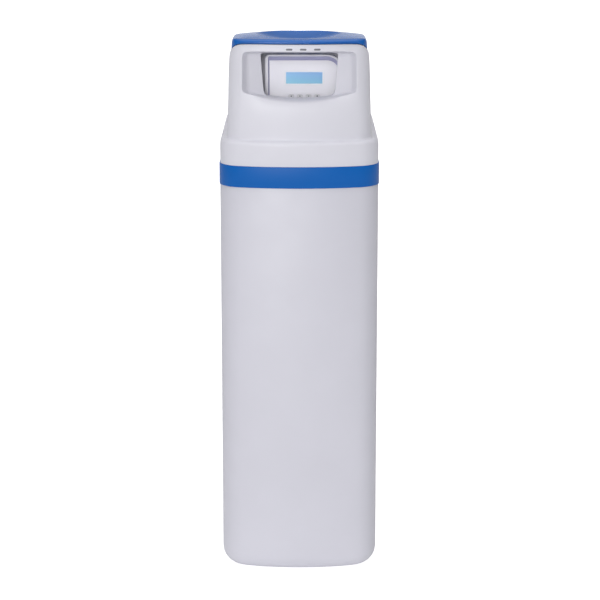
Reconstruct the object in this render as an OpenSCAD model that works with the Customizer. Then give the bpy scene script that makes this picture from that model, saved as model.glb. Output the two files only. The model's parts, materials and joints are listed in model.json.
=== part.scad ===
// Cabinet water softener: a brine tank that holds a resin vessel, a motor-driven control valve,
// a bypass and a float valve, under a white hood with a display window and a hinged salt lid.
// The origin is on the floor at the centre of the tank's footprint. The front faces -Y, +Z is up.

/* [Brine tank] */
// Width of the tank, side to side
tank_w = 322; // [314:1:350]
// Depth of the tank, front to back
tank_d = 500; // [490:1:560]
// Height of the tank wall below the trim ring
tank_h = 814; // [790:1:824]
// Thickness of the tank wall
tank_wall = 4; // [3:0.5:5]
// Thickness of the tank floor
floor_t = 6; // [4:0.5:10]
// Radius of the front corners, seen from above
front_r = 55; // [48:1:65]
// Radius of the rear corners, seen from above
rear_r = 48; // [42:1:55]
// Radius of the bowed front, seen from above
bow_r = 480; // [350:10:1500]
// Radius of the rounded bottom edge
base_r = 38; // [20:1:39]

/* [Trim ring] */
// Height of the visible ring
ring_h = 43; // [40:1:50]
// Thickness of the ring wall
ring_t = 3.5; // [3:0.5:5]
// How far the ring stands proud of the tank
ring_proud = 1.5; // [0.5:0.25:2.5]
// Height of the tank rim that stands inside the ring
rim_h = 24; // [16:1:28]

/* [Hood] */
// Wall thickness of the hood
hood_wall = 3.5; // [3:0.5:4]
// Height of the skirt above the ring
skirt_h = 50; // [30:1:56]
// Width of the ledge above the skirt
ledge_in = 15; // [12:1:18]
// How far the rim of the hood lies inside the skirt
top_in = 24.5; // [21:0.5:26]
// Rise of the front rail above the side rims
rail_rise = 15; // [8:1:16]
// Room between the control head and the side rims
head_room = 11; // [8:1:30]
// How far the display window spreads on each side of its opening
window_flare = 34; // [24:1:36]
// How much the opening narrows towards its sill, on each side
window_taper = 8; // [0:1:12]
// Depth of the flange behind the opening
window_depth = 20; // [8:1:24]
// Sag of the window sill at its middle
sill_sag = 9; // [2:0.5:12]
// Width of the service notch in the rear wall
notch_w = 144; // [140:1:170]

/* [Salt lid] */
// Thickness of the lid
lid_t = 3; // [2.5:0.5:4]
// Height of the lid edge above the side rims
lid_h = 24.5; // [24:0.5:34]
// Rise of the crown above the lid edge
crown = 7; // [4:0.5:10]
// Fall of the lid and the side rims towards the rear
lid_fall = 50; // [0:1:60]
// Depth of the round dish in the lid
dish_depth = 9; // [6:0.5:10]
// Radius of the sphere that shapes the dish
dish_sphere = 470; // [400:10:600]
// Distance of the hinges from the middle
hinge_x = 82; // [60:1:86]
// Radius of the hinge pins
hinge_pin_r = 2.5; // [2:0.25:3]

/* [Resin vessel] */
// Radius of the vessel
vessel_r = 128.5; // [118:0.5:130]
// Height of the vessel, neck included
vessel_h = 872; // [858:1:890]
// Wall thickness of the vessel
vessel_wall = 4; // [3:0.5:6]
// Room between the vessel and the front of the tank
vessel_front = 51.5; // [48:0.5:56]
// Sideways place of the vessel
vessel_x = 10; // [0:1:12]
// Height of the resin bed
bed_h = 520; // [300:10:650]
// Radius of the riser tube
riser_r = 13.35; // [12.5:0.05:13.4]

/* [Control valve] */
// Width of the control head
head_w = 160; // [150:1:164]
// Height of the control head
head_h = 140; // [128:1:146]
// Width of the rim round the control panel
panel_rim = 7; // [5:0.5:9]
// How far that rim stands proud of the panel
rim_proud = 5; // [2:0.5:7]
// Radius of the upper right corner of the control head
head_round = 34; // [20:1:40]
// Reach of the flange round the control head
head_flange = 9; // [6:0.5:12]
// Radius of the valve piston
piston_r = 14.2; // [12:0.1:15]
// Stroke of the piston
stroke = 24; // [12:1:24]
// Width of the display
lcd_w = 74; // [60:1:80]
// Height of the display
lcd_h = 23.5; // [18:0.5:26]
// Distance between neighbouring buttons
button_step = 17.6; // [15:0.1:18]
// Width of each button
button_w = 12; // [9:0.5:13]
// Height of each button
button_h = 6.4; // [5:0.2:7]

/* [Gear train] */
// Size of the teeth: pitch diameter over number of teeth
tooth_m = 1; // [0.96:0.02:1]
// Teeth of the main gear
main_n = 64; // [60:2:64]
// Teeth of the large reduction wheel
wheel_n = 40; // [36:2:40]
// Teeth of the small reduction pinion
small_n = 14; // [13:1:15]
// Teeth of the motor pinion
pinion_n = 12; // [12:1:13]

/* [Bypass and ports] */
// Distance between the inlet and the outlet
port_step = 82; // [78:1:86]
// Radius of the water passages
port_bore = 12.5; // [10:0.5:13]
// Radius of the threaded ports
thread_r = 16.6; // [15:0.1:17]
// Length of the threaded ports
thread_l = 22; // [16:1:26]

/* [Brine side] */
// Radius of the brine well
well_r = 40; // [38:0.5:42]
// Height of the salt grid above the tank floor
grid_h = 104; // [80:1:140]
// Height of the overflow above the floor
overflow_z = 735; // [600:1:745]
// Travel of the float
float_travel = 12; // [6:1:14]

/* [Hidden] */
// Running clearance of turning and sliding fits
fit = 0.05;
// Gap between pieces that only lie next to each other
gap = 0.3;
// Steps of the outline: bowed front and each corner
bow_n = 12;
corner_n = 8;

// Heights from the floor upward
ring_z = tank_h;
tank_rim = ring_z + rim_h;
flange_t = 4;
hood_z = ring_z + ring_h;
ledge_z = hood_z + skirt_h;
boot_lift = 14;
vessel_z = floor_t + boot_lift;
neck_z = vessel_z + vessel_h;
port_z = neck_z + 61;
piston_z = neck_z + 84;
head_z = neck_z + 41;
head_top = head_z + head_h;
rim_z = head_top + head_room;
lid_edge = rim_z + lid_h;

// Valve places: the vessel axis, the face of the head and the layers behind it
vessel_y = -tank_d / 2 + vessel_r + vessel_front;
face_y = vessel_y - 82;
board_y = face_y + 5.4;
board_t = 1.6;
wheel_y = board_y + board_t + 1.5;
wheel_t = 6;
main_y = wheel_y + wheel_t + 2.5;
main_t = 7;
bracket_y = main_y + main_t + 2;
bracket_t = 4;
cap_y = bracket_y + bracket_t + 8;
cap_t = 8;
barrel_y = cap_y + cap_t;
barrel_l = 92;
barrel_r = 36;
stack_r = 23.9;
stack_l = barrel_l - 7;
port_y = barrel_y + barrel_l + 22;

// Gear places, seen from the front: main gear, reduction gear and motor
mesh_a = 35;
mesh_b = 60;
red_c = tooth_m * (main_n + small_n) / 2;
mot_c = tooth_m * (wheel_n + pinion_n) / 2;
red_x = vessel_x + red_c * cos(mesh_a);
red_z = piston_z + red_c * sin(mesh_a);
mot_x = red_x + mot_c * cos(mesh_b);
mot_z = red_z + mot_c * sin(mesh_b);
motor_r = 14;
post_r = 3;

// Display and keypad places
lcd_z = head_z + 92;
keypad_z = head_z + 55;
cover_wall = 2.5;
button_x = [-1.5 * button_step, -0.5 * button_step, 0.5 * button_step, 1.5 * button_step];

// Display window of the hood
open_w = head_w - 2;
window_y = face_y - 38;
sill_z = head_z + 54;
window_top = rim_z - 4;

// Hinge line of the lid
hinge_r = 6;
hinge_y = tank_d / 2 - top_in + hinge_r + 2;
hinge_z = rim_z - lid_fall;

// Brine well and float places
well_x = tank_w / 2 - 56;
well_y = tank_d / 2 - 60;
well_wall = 2.5;
well_top = tank_rim + 30;
rod_x = well_x + 10;
draw_x = well_x - 22;

// Overflow
overflow_x = 66 - tank_w / 2;

// Bypass places
bypass_y = port_y;
bypass_l = 88;
rotor_y = bypass_y + 46;
rotor_r = 17;
port_r = 20;

// Outline helpers

function arc(c, r, a0, a1, n) = [for (i = [0 : n])
    c + r * [cos(a0 + (a1 - a0) * i / n), sin(a0 + (a1 - a0) * i / n)]];
function drop_first(v) = [for (i = [1 : len(v) - 1]) v[i]];
function drop_last(v) = [for (i = [0 : len(v) - 2]) v[i]];
function smooth(u) = let (c = min(1, max(0, u))) c * c * (3 - 2 * c);

// Outline of the cabinet at an inset t, counter-clockwise from the left end of the bowed front
function plan(t) =
    let (phi = asin((tank_w / 2 - front_r) / (bow_r - front_r)),
        bow = [0, bow_r - tank_d / 2],
        fc = bow + (bow_r - front_r) * [sin(phi), -cos(phi)],
        rc = [tank_w / 2 - rear_r, tank_d / 2 - rear_r])
    concat(arc(bow, bow_r - t, 270 - phi, 270 + phi, bow_n),
        drop_first(arc(fc, front_r - t, 270 + phi, 360, corner_n)),
        arc(rc, rear_r - t, 0, 90, corner_n),
        arc([-rc.x, rc.y], rear_r - t, 90, 180, corner_n),
        drop_last(arc([-fc.x, fc.y], front_r - t, 180, 270 - phi, corner_n)));

// Rise of the hood's front rail at a place along the depth
function rise(y) = rail_rise * smooth((-y - (tank_d / 2 - 75)) / 40);

// Fall of the top towards the rear at a place along the depth
fall_y = -tank_d / 2 + 100;
function fall(y) = -lid_fall * pow(max(0, y - fall_y) / (tank_d / 2 - top_in - fall_y), 2);

// A ring of points: inset, height, share of the front rise and share of the rear fall
function ring3(r) = [for (p = plan(r[0]))
    [p.x, p.y, r[1] + (r[2] == undef ? 0 : r[2] * rise(p.y)) + (r[3] == undef ? 0 : r[3] * fall(p.y))]];
// The same outline drawn in towards the middle by a scale, domed by the crown
function ring_in(t, s, z, h) = [for (p = plan(t)) [p.x * s, p.y * s, z + h * (1 - s * s) + fall(p.y * s)]];

// A closed skin through rings of equal length, with a flat cap at both ends
module skin(rings) {
    n = len(rings[0]);
    m = len(rings);
    side = [for (k = [0 : m - 2]) for (i = [0 : n - 1]) let (a = k * n + i, b = k * n + (i + 1) % n)
        each [[a, a + n, b + n], [a, b + n, b]]];
    bottom = [for (i = [0 : n - 1]) i];
    top = [for (i = [n - 1 : -1 : 0]) (m - 1) * n + i];
    polyhedron(points = [for (r = rings) each r], faces = concat([bottom], side, [top]), convexity = 6);
}

// A skin closed on itself: the last ring joins the first
module loop_skin(rings) {
    n = len(rings[0]);
    m = len(rings);
    side = [for (k = [0 : m - 1]) for (i = [0 : n - 1])
        let (j = (i + 1) % n, a = k * n, b = ((k + 1) % m) * n)
        each [[a + i, b + i, b + j], [a + i, b + j, a + j]]];
    polyhedron(points = [for (r = rings) each r], faces = side, convexity = 10);
}

// A rod along +Y that starts at y
module rod_y(x, y, z, r, l, r2 = 0) {
    translate([x, y, z])
        rotate([-90, 0, 0])
            cylinder(r1 = r, r2 = r2 > 0 ? r2 : r, h = l, $fn = 48);
}

// A rod along +Z
module rod_z(x, y, z, r, l, r2 = 0) {
    translate([x, y, z])
        cylinder(r1 = r, r2 = r2 > 0 ? r2 : r, h = l, $fn = 48);
}

// A rod along +X
module rod_x(x, y, z, r, l) {
    translate([x, y, z])
        rotate([0, 90, 0])
            cylinder(r = r, h = l, $fn = 48);
}

// A flat shape seen from the front, thickened along +Y from y
module front_plate(x, y, z, t) {
    translate([x, y + t, z])
        rotate([90, 0, 0])
            linear_extrude(height = t)
                children();
}

// A rectangle with round corners, centred
module round_rect(w, h, r) {
    translate([-w / 2 + r, -h / 2])
        square([w - 2 * r, h]);
    translate([-w / 2, -h / 2 + r])
        square([w, h - 2 * r]);
    for (x = [-1, 1])
        for (y = [-1, 1])
            translate([x * (w / 2 - r), y * (h / 2 - r)])
                circle(r = r, $fn = 32);
}

// A pill shape, centred
module pill(w, h) {
    translate([-w / 2 + h / 2, -h / 2])
        square([w - h, h]);
    for (x = [-1, 1])
        translate([x * (w - h) / 2, 0])
            circle(r = h / 2, $fn = 32);
}

// Cabinet

tank_fillet = [for (a = [0 : 15 : 90]) [base_r * (1 - sin(a)), base_r * (1 - cos(a))]];
tank_inner = [for (a = [90 : -15 : 0])
    [tank_wall + (base_r - tank_wall) * (1 - sin(a)), floor_t + (base_r - tank_wall) * (1 - cos(a))]];
rim_in = ring_t - ring_proud + 0.5;

module brine_tank() {
    color([0.86, 0.87, 0.90])
        difference() {
            skin([for (r = concat(tank_fillet,
                [[0, ring_z], [rim_in, ring_z], [rim_in, tank_rim], [rim_in + tank_wall, tank_rim],
                [rim_in + tank_wall, ring_z - 10], [tank_wall, ring_z - 18]],
                tank_inner)) ring3(r)]);
            rod_y(overflow_x, tank_d / 2 - 20, overflow_z, 11.5, 40);
        }
}

module trim_ring() {
    t_in = ring_t - ring_proud;
    color([0.10, 0.38, 0.70])
        loop_skin([for (r = [[0.2 - ring_proud / 2, ring_z], [-ring_proud, ring_z + 1],
            [-ring_proud, hood_z - 1], [0.2 - ring_proud / 2, hood_z], [t_in, hood_z],
            [t_in, tank_rim + flange_t], [t_in + 7, tank_rim + flange_t], [t_in + 7, tank_rim],
            [t_in, tank_rim], [t_in, ring_z]]) ring3(r)]);
}

// Window shapes, drawn from the front: half width at the top, corner radius, growth on all sides
function window_shape(hw, r, g) =
    let (b = hw - window_taper + g, z0 = sill_z - g)
    concat([for (i = [-6 : 6]) [(b - r) * i / 6, z0 + sill_sag * i * i / 36]],
        drop_first(arc([b - r, z0 + sill_sag + r], r, -70, 0, 5)),
        [[hw + g, window_top + g], [-hw - g, window_top + g]],
        drop_last(arc([r - b, z0 + sill_sag + r], r, 180, 250, 5)));

module window_slice(y, hw, r, g) {
    translate([0, y + 0.01, 0])
        rotate([90, 0, 0])
            linear_extrude(height = 0.01)
                polygon(window_shape(hw, r, g));
}

// The funnel between the front of the hood and the opening, grown by g
module window_funnel(g) {
    hw = open_w / 2;
    front = window_y - 50;
    hull() {
        window_slice(front, hw + window_flare * 50 / 28, 24, g);
        window_slice(window_y, hw, 8, g);
    }
}

skirt_edge = [for (a = [0 : 22.5 : 90]) [8 * (1 - cos(a)), ledge_z - 8 + 8 * sin(a)]];
hood_foot = [for (a = [0 : 30 : 90]) [ledge_in - 5 + 5 * sin(a), ledge_z + 5 - 5 * cos(a)]];
wall_rise = rim_z - ledge_z;
hood_side = [[ledge_in + 1.5, ledge_z + 0.35 * wall_rise, 0, 0],
    [ledge_in + 3, ledge_z + 0.6 * wall_rise, 0, 0.25],
    [top_in - 4.5, rim_z - 24, 0, 0.85], [top_in - 2.5, rim_z - 10, 0, 1]];

module hood_shell() {
    tongue = ring_t - ring_proud + 0.4;
    low = tank_rim + flange_t;
    outer = concat([[0, hood_z]], skirt_edge, hood_foot, hood_side);
    inner = [for (i = [len(hood_side) - 1 : -1 : 0]) hood_side[i] + [hood_wall, -1, 0, 0]];
    color([0.87, 0.88, 0.91])
        difference() {
            union() {
                loop_skin(concat([for (r = outer) ring3(r)],
                    [ring3([top_in, rim_z, 1, 1]), ring3([top_in + hood_wall, rim_z, 1, 1])],
                    [for (r = inner) ring3(r)],
                    [for (r = [[ledge_in + hood_wall, ledge_z - hood_wall + 2],
                        [hood_wall + 3, ledge_z - hood_wall],
                        [hood_wall, ledge_z - hood_wall - 6], [hood_wall, hood_z + 10],
                        [tongue + 3, hood_z + 6], [tongue + 3, low], [tongue, low], [tongue, hood_z]])
                        ring3(r)]));
                intersection() {
                    skin([for (r = concat([[ledge_in, ledge_z + 20]], hood_side,
                        [[top_in, rim_z], [top_in, rim_z + rail_rise]])) ring3([r[0], r[1]])]);
                    window_funnel(3.5);
                }
                front_plate(0, window_y - 1, 0, window_depth + 1)
                    polygon(window_shape(open_w / 2, 8, 3));
                hood_knuckles();
            }
            window_funnel(0);
            front_plate(0, window_y - 6, 0, window_depth + 8)
                polygon(window_shape(open_w / 2, 8, 0));
            translate([vessel_x - notch_w / 2, tank_d / 2 - 60, low - 5])
                cube([notch_w, 80, port_z + 46 - low]);
            for (s = [-1, 1])
                rod_x(s * hinge_x - 25, hinge_y, hinge_z, hinge_pin_r + 0.01, 50);
        }
}

module hood_knuckles() {
    for (s = [-1, 1])
        for (x = [-20, 8])
            translate([s * hinge_x + x, 0, 0]) {
                rod_x(0, hinge_y, hinge_z, hinge_r, 12);
                translate([0, hinge_y - hinge_r - 4, hinge_z - hinge_r])
                    cube([12, hinge_r + 4, hinge_r]);
            }
}

lid_side = [[top_in + 0.6, lid_edge - 7, 0, 1], [top_in + 2, lid_edge - 3.2, 0, 1],
    [top_in + 4.5, lid_edge - 1, 0, 1], [top_in + 8.5, lid_edge, 0, 1]];
lid_scale = [0.88, 0.72, 0.52, 0.30, 0.08];

module salt_lid() {
    t_top = top_in + 8.5;
    dish_y = -tank_d / 2 + 132;
    dish_z = lid_edge + crown * 0.68 + fall(dish_y) - dish_depth;
    color([0.10, 0.38, 0.70])
        difference() {
            union() {
                skin(concat(
                    [for (i = [len(lid_scale) - 1 : -1 : 0])
                        ring_in(t_top, lid_scale[i], lid_edge - lid_t, crown)],
                    [for (i = [len(lid_side) - 1 : -1 : 0])
                        ring3(lid_side[i] + [lid_t, i == 0 ? 0 : -lid_t, 0, 0])],
                    [ring3([top_in + lid_t, rim_z + gap, 1, 1]), ring3([top_in, rim_z + gap, 1, 1])],
                    [for (r = lid_side) ring3(r)],
                    [for (s = lid_scale) ring_in(t_top, s, lid_edge, crown)]));
                translate([0, dish_y, dish_z])
                    rotate_extrude($fn = 96)
                        polygon(concat([for (i = [0 : 8]) [94 * i / 8, bowl_z(94 * i / 8) - lid_t]],
                            [for (i = [8 : -1 : 0]) [94 * i / 8, bowl_z(94 * i / 8) - 0.5]]));
                for (s = [-1, 1])
                    translate([s * hinge_x - 7.5, 0, 0]) {
                        rod_x(0, hinge_y, hinge_z, hinge_r, 15);
                        translate([0, hinge_y - hinge_r - 6, hinge_z + 1.5])
                            cube([15, hinge_r + 6, hinge_r - 1.5]);
                    }
            }
            translate([0, dish_y, dish_z + dish_sphere])
                sphere(r = dish_sphere, $fn = 120);
            for (s = [-1, 1])
                rod_x(s * hinge_x - 10, hinge_y, hinge_z, hinge_pin_r + fit, 20);
        }
}

// Height of the dish's floor at a distance from its middle
function bowl_z(r) = dish_sphere - sqrt(dish_sphere * dish_sphere - r * r);

module hinge_pins() {
    color([0.75, 0.76, 0.78])
        for (s = [-1, 1])
            rod_x(s * hinge_x - 21, hinge_y, hinge_z, hinge_pin_r, 42);
}

// Brine side

// Legs and feet stand on the flat of the tank floor, inside its rounded edge
leg_x = tank_w / 2 - base_r - 11;
well_foot = floor_t + 12;

module salt_grid() {
    z = floor_t + grid_h;
    color([0.80, 0.82, 0.84]) {
        translate([0, 0, z])
            linear_extrude(height = 5)
                difference() {
                    polygon(plan(tank_wall + 1.5));
                    translate([vessel_x, vessel_y])
                        circle(r = vessel_r + 3, $fn = 96);
                    translate([well_x, well_y])
                        circle(r = well_r + 1.5, $fn = 64);
                    for (x = [-4 : 2])
                        for (y = [0 : 4])
                            translate([x * 28, tank_d / 2 - 38 - y * 28])
                                circle(r = 5, $fn = 16);
                }
        for (p = [[-leg_x, tank_d / 2 - 80], [-10, tank_d / 2 - 66],
                [-leg_x, 82 - tank_d / 2], [leg_x, 82 - tank_d / 2]])
            rod_z(p[0], p[1], floor_t, 8, grid_h);
    }
}

module brine_well() {
    color([0.82, 0.84, 0.86])
        difference() {
            rod_z(well_x, well_y, floor_t, well_r, well_top - floor_t);
            rod_z(well_x, well_y, floor_t - 1, well_r - well_wall, well_top);
            for (a = [0 : 45 : 135])
                translate([well_x, well_y, floor_t + 22])
                    rotate([0, 0, a])
                        cube([2 * well_r + 10, 8, 34], center = true);
            translate([well_x - 12, well_y - well_r - 1, 0])
                cube([2 * well_r, 2 * well_r + 2, well_foot]);
            translate([well_x - well_r - 1, well_y - 12, 0])
                cube([2 * well_r + 2, 2 * well_r, well_foot]);
        }
}

module well_cap() {
    color([0.30, 0.32, 0.35])
        difference() {
            union() {
                rod_z(well_x, well_y, well_top, well_r + 3, 4);
                rod_z(well_x, well_y, well_top - 8, well_r - well_wall - gap, 9);
            }
            rod_z(well_x, well_y, well_top - 9, well_r - well_wall - gap - 3, 9);
            rod_z(well_x, well_y, well_top - 2, 6.5, 10);
        }
}

module safety_valve() {
    color([0.88, 0.88, 0.86])
        difference() {
            union() {
                rod_z(well_x, well_y, well_top - 12, well_r - well_wall - gap, 4);
                rod_z(well_x, well_y, well_top - 70, 31, 59);
                rod_z(well_x, well_y, well_top - 8, 6, 15);
            }
            rod_z(rod_x, well_y, well_top - 80, 2.5 + fit, 80 - 17);
            rod_z(draw_x, well_y, well_top - 80, 6.1, 26);
            rod_z(well_x, well_y, well_top - 50, 3, 70);
        }
}

module float_rod() {
    color([0.90, 0.90, 0.88])
        rod_z(rod_x, well_y, 160, 2.5, well_top - 17 - float_travel - 1 - 160);
}

module float_bulb() {
    color([0.20, 0.22, 0.24])
        difference() {
            union() {
                rod_z(rod_x, well_y, 426, 20, 36);
                rod_z(rod_x, well_y, 420, 15, 6, 20);
                rod_z(rod_x, well_y, 462, 20, 6, 15);
                rod_z(rod_x, well_y, 410, 6, 64);
            }
            rod_z(rod_x, well_y, 400, 2.5, 90);
        }
}

module draw_tube() {
    color([0.85, 0.86, 0.86]) {
        rod_z(draw_x, well_y, 70, 6, well_top - 54 - 70);
        rod_z(draw_x, well_y, 34, 12, 36);
        rod_z(draw_x, well_y, 70, 12, 8, 6);
        rod_z(draw_x, well_y, floor_t + 4, 8, 34 - floor_t - 4);
    }
}

// Route of the brine line, from the elbow on the valve to the top of the safety valve
line_x = vessel_x + barrel_r + 38;
line_y = vessel_y + 10;
line_z = port_z;
line_pts = [[line_x, line_y + 22.4, line_z], [line_x, line_y + 40, line_z],
    [line_x + 4, line_y + 90, line_z + 6],
    [line_x + 14, well_y - 90, line_z + 4], [well_x - 4, well_y - 44, line_z - 8],
    [well_x, well_y - 10, line_z - 34],
    [well_x, well_y, well_top + 24], [well_x, well_y, well_top + 7.4]];

// Smooth curve through four neighbouring points
function glide(a, b, c, d, u) = 0.5 * (2 * b + (c - a) * u + (2 * a - 5 * b + 4 * c - d) * u * u
    + (3 * b - a - 3 * c + d) * u * u * u);
line_n = len(line_pts);
line_path = concat([for (i = [0 : line_n - 2]) for (u = [0, 0.5])
    glide(line_pts[max(0, i - 1)], line_pts[i], line_pts[i + 1], line_pts[min(line_n - 1, i + 2)], u)],
    [line_pts[line_n - 1]]);
function unit(v) = v / norm(v);
function tube_ring(i) =
    let (n = len(line_path) - 1,
        d = unit(line_path[min(n, i + 1)] - line_path[max(0, i - 1)]),
        e = unit(cross(d, [1, 0, 0])),
        f = cross(e, d))
    [for (k = [0 : 9]) line_path[i] + 4.75 * (cos(36 * k) * e - sin(36 * k) * f)];

module brine_line() {
    color([0.15, 0.15, 0.16])
        skin([for (i = [0 : len(line_path) - 1]) tube_ring(i)]);
}

module overflow_elbow() {
    y = tank_d / 2;
    color([0.30, 0.32, 0.35])
        difference() {
            union() {
                rod_y(overflow_x, y - 15, overflow_z, 11, 35);
                rod_y(overflow_x, y + 2, overflow_z, 17, 3);
                rod_z(overflow_x, y + 20, overflow_z - 6, 11, 12);
                translate([overflow_x, y + 20, overflow_z])
                    sphere(r = 11, $fn = 48);
                rod_z(overflow_x, y + 20, overflow_z - 40, 8, 40);
                for (z = [-40, -32, -24])
                    rod_z(overflow_x, y + 20, overflow_z + z, 8, 6, 9.2);
            }
            rod_y(overflow_x, y - 30, overflow_z, 6.5, 50);
            rod_z(overflow_x, y + 20, overflow_z - 50, 6, 50);
        }
}

module overflow_gasket() {
    color([0.12, 0.12, 0.12])
        difference() {
            rod_y(overflow_x, tank_d / 2, overflow_z, 16.5, 2);
            rod_y(overflow_x, tank_d / 2 - 1, overflow_z, 11.3, 4);
        }
}

module overflow_nut() {
    color([0.30, 0.32, 0.35])
        difference() {
            translate([overflow_x, tank_d / 2 - tank_wall, overflow_z])
                rotate([90, 0, 0])
                    cylinder(r = 18, h = 9, $fn = 6);
            rod_y(overflow_x, tank_d / 2 - tank_wall - 20, overflow_z, 11.3, 40);
        }
}

// Resin vessel

dome_b = 60;
dome_t = 78;
collar_r = 45;
neck_bore = 31.6;
shoulder_z = neck_z - 18 - dome_t * sqrt(1 - pow(collar_r / vessel_r, 2));
// Height of the outer bottom dome at a radius
function dome_z(r) = vessel_z + dome_b - dome_b * sqrt(1 - pow(r / vessel_r, 2));

function dome(r, h, z, a0, a1) = [for (i = [0 : 9])
    let (a = a0 + (a1 - a0) * i / 9) [r * cos(a), z + h * sin(a)]];
collar_a = acos(collar_r / vessel_r);
bore_a = acos(neck_bore / (vessel_r - vessel_wall));

module resin_vessel() {
    ri = vessel_r - vessel_wall;
    color([0.22, 0.30, 0.36])
        translate([vessel_x, vessel_y, 0])
            rotate_extrude($fn = 96)
                polygon(concat(dome(vessel_r, dome_b, vessel_z + dome_b, -90, 0),
                    dome(vessel_r, dome_t, shoulder_z, 0, collar_a),
                    [[collar_r, neck_z], [35, neck_z], [35, neck_z - 3.8], [neck_bore, neck_z - 3.8]],
                    dome(ri, dome_t - vessel_wall, shoulder_z, bore_a, 0),
                    dome(ri, dome_b - vessel_wall, vessel_z + dome_b, 0, -90)));
}

module vessel_boot() {
    r0 = vessel_r - 23;
    r1 = vessel_r - 8.5;
    foot_r = min(r1, tank_w / 2 - base_r - vessel_x - 0.5);
    sole_r = min(r0 - 8, foot_r - 12);
    rm = vessel_r - 15.5;
    slope = (dome_b / vessel_r) * (rm / vessel_r) / sqrt(1 - pow(rm / vessel_r, 2));
    zm = dome_z(rm) - gap;
    color([0.12, 0.12, 0.13])
        translate([vessel_x, vessel_y, 0])
            rotate_extrude($fn = 96)
                polygon([[sole_r, floor_t], [foot_r, floor_t], [r1, floor_t + 9],
                    [r1, zm + slope * (r1 - rm)],
                    [r0, zm - slope * (rm - r0)], [r0, floor_t + 5], [sole_r, floor_t + 5]]);
}

module resin_bed() {
    ri = vessel_r - vessel_wall - gap;
    rc = 31.5;
    basket_top = vessel_z + vessel_wall + 74;
    color([0.62, 0.36, 0.14])
        translate([vessel_x, vessel_y, 0])
            rotate_extrude($fn = 96)
                polygon(concat(
                    [for (a = [-70 : 10 : 0])
                        [ri * cos(a), vessel_z + dome_b + (dome_b - vessel_wall - gap) * sin(a)]],
                    [[ri, vessel_z + bed_h], [riser_r + 0.4, vessel_z + bed_h], [riser_r + 0.4, basket_top],
                    [rc, basket_top]]));
}

module riser_tube() {
    color([0.90, 0.90, 0.92])
        difference() {
            rod_z(vessel_x, vessel_y, vessel_z + vessel_wall + 52, riser_r,
                neck_z + 16 - vessel_z - vessel_wall - 52);
            rod_z(vessel_x, vessel_y, vessel_z, riser_r - 1.6, vessel_h + 60);
        }
}

module lower_basket() {
    z = vessel_z + vessel_wall + 1.2;
    color([0.80, 0.82, 0.84])
        difference() {
            union() {
                rod_z(vessel_x, vessel_y, z + 6, 30, 56);
                rod_z(vessel_x, vessel_y, z, 18, 6, 30);
                rod_z(vessel_x, vessel_y, z + 60, 18, 12);
            }
            rod_z(vessel_x, vessel_y, z + 8, 26, 42);
            rod_z(vessel_x, vessel_y, z + 40, riser_r + 0.02, 40);
            for (a = [0 : 30 : 150])
                translate([vessel_x, vessel_y, z + 30])
                    rotate([0, 0, a])
                        cube([70, 2, 36], center = true);
        }
}

module upper_basket() {
    color([0.80, 0.82, 0.84])
        difference() {
            union() {
                rod_z(vessel_x, vessel_y, neck_z - 20, 24.9, 14);
                rod_z(vessel_x, vessel_y, neck_z - 66, 20, 46, 24.9);
            }
            rod_z(vessel_x, vessel_y, neck_z - 70, riser_r + 0.35, 80);
            for (a = [15 : 30 : 165])
                translate([vessel_x, vessel_y, neck_z - 44])
                    rotate([0, 0, a])
                        cube([70, 2, 30], center = true);
        }
}

// Control valve

module valve_body() {
    color([0.16, 0.17, 0.18])
        difference() {
            union() {
                rod_z(vessel_x, vessel_y, neck_z - 22, 31.2, 23);
                rod_z(vessel_x, vessel_y, neck_z, 46, 14);
                rod_z(vessel_x, vessel_y, neck_z, 35, 84);
                rod_y(vessel_x, barrel_y, piston_z, barrel_r, barrel_l);
                translate([vessel_x - 62, port_y - 46, port_z - 23])
                    cube([124, 28, 46]);
                for (s = [-1, 1])
                    rod_y(vessel_x + s * port_step / 2, port_y - 20, port_z, port_r, 20);
                rod_x(vessel_x + 20, vessel_y + 10, port_z, 14, barrel_r);
                rod_x(vessel_x - 56, vessel_y + 10, port_z, 17, barrel_r);
                rod_z(vessel_x, vessel_y + 30, piston_z + 20, 13, barrel_r - 20 + 8);
            }
            rod_z(vessel_x, vessel_y, neck_z - 23, 25, 33);
            rod_z(vessel_x, vessel_y, neck_z, 13.8, 24);
            rod_y(vessel_x, barrel_y - 1, piston_z, stack_r + 0.1, barrel_l - 5);
            for (s = [-1, 1])
                rod_y(vessel_x + s * port_step / 2, port_y - 40, port_z, port_bore, 41);
            rod_x(vessel_x + 40, vessel_y + 10, port_z, 7.1, 20);
            rod_x(vessel_x - 60, vessel_y + 10, port_z, 11.1, 24);
            rod_z(vessel_x, vessel_y + 30, piston_z + barrel_r - 6, 7.6, 20);
        }
}

module neck_seal() {
    color([0.08, 0.08, 0.08])
        translate([vessel_x, vessel_y, neck_z - 1.95])
            rotate_extrude($fn = 96)
                translate([33.1, 0])
                    circle(r = 1.7, $fn = 24);
}

seal_y = [8, 25, 42, 59, 76];

module seal_stack() {
    color([0.75, 0.77, 0.78])
        difference() {
            rod_y(vessel_x, barrel_y, piston_z, stack_r, stack_l);
            rod_y(vessel_x, barrel_y - 1, piston_z, piston_r + fit, stack_l + 2);
            for (y = seal_y)
                difference() {
                    rod_y(vessel_x, barrel_y + y - 2, piston_z, stack_r + 1, 4);
                    rod_y(vessel_x, barrel_y + y - 3, piston_z, stack_r - 3.6, 6);
                }
            for (y = [16.5, 33.5, 50.5, 67.5])
                for (a = [0 : 60 : 120])
                    translate([vessel_x, barrel_y + y, piston_z])
                        rotate([0, a, 0])
                            cube([80, 7, 9], center = true);
        }
}

module stack_seals() {
    color([0.08, 0.08, 0.08])
        for (y = seal_y)
            translate([vessel_x, barrel_y + y, piston_z])
                rotate([90, 0, 0])
                    rotate_extrude($fn = 72)
                        translate([stack_r - 1.75, 0])
                            circle(r = 1.7, $fn = 20);
}

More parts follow.
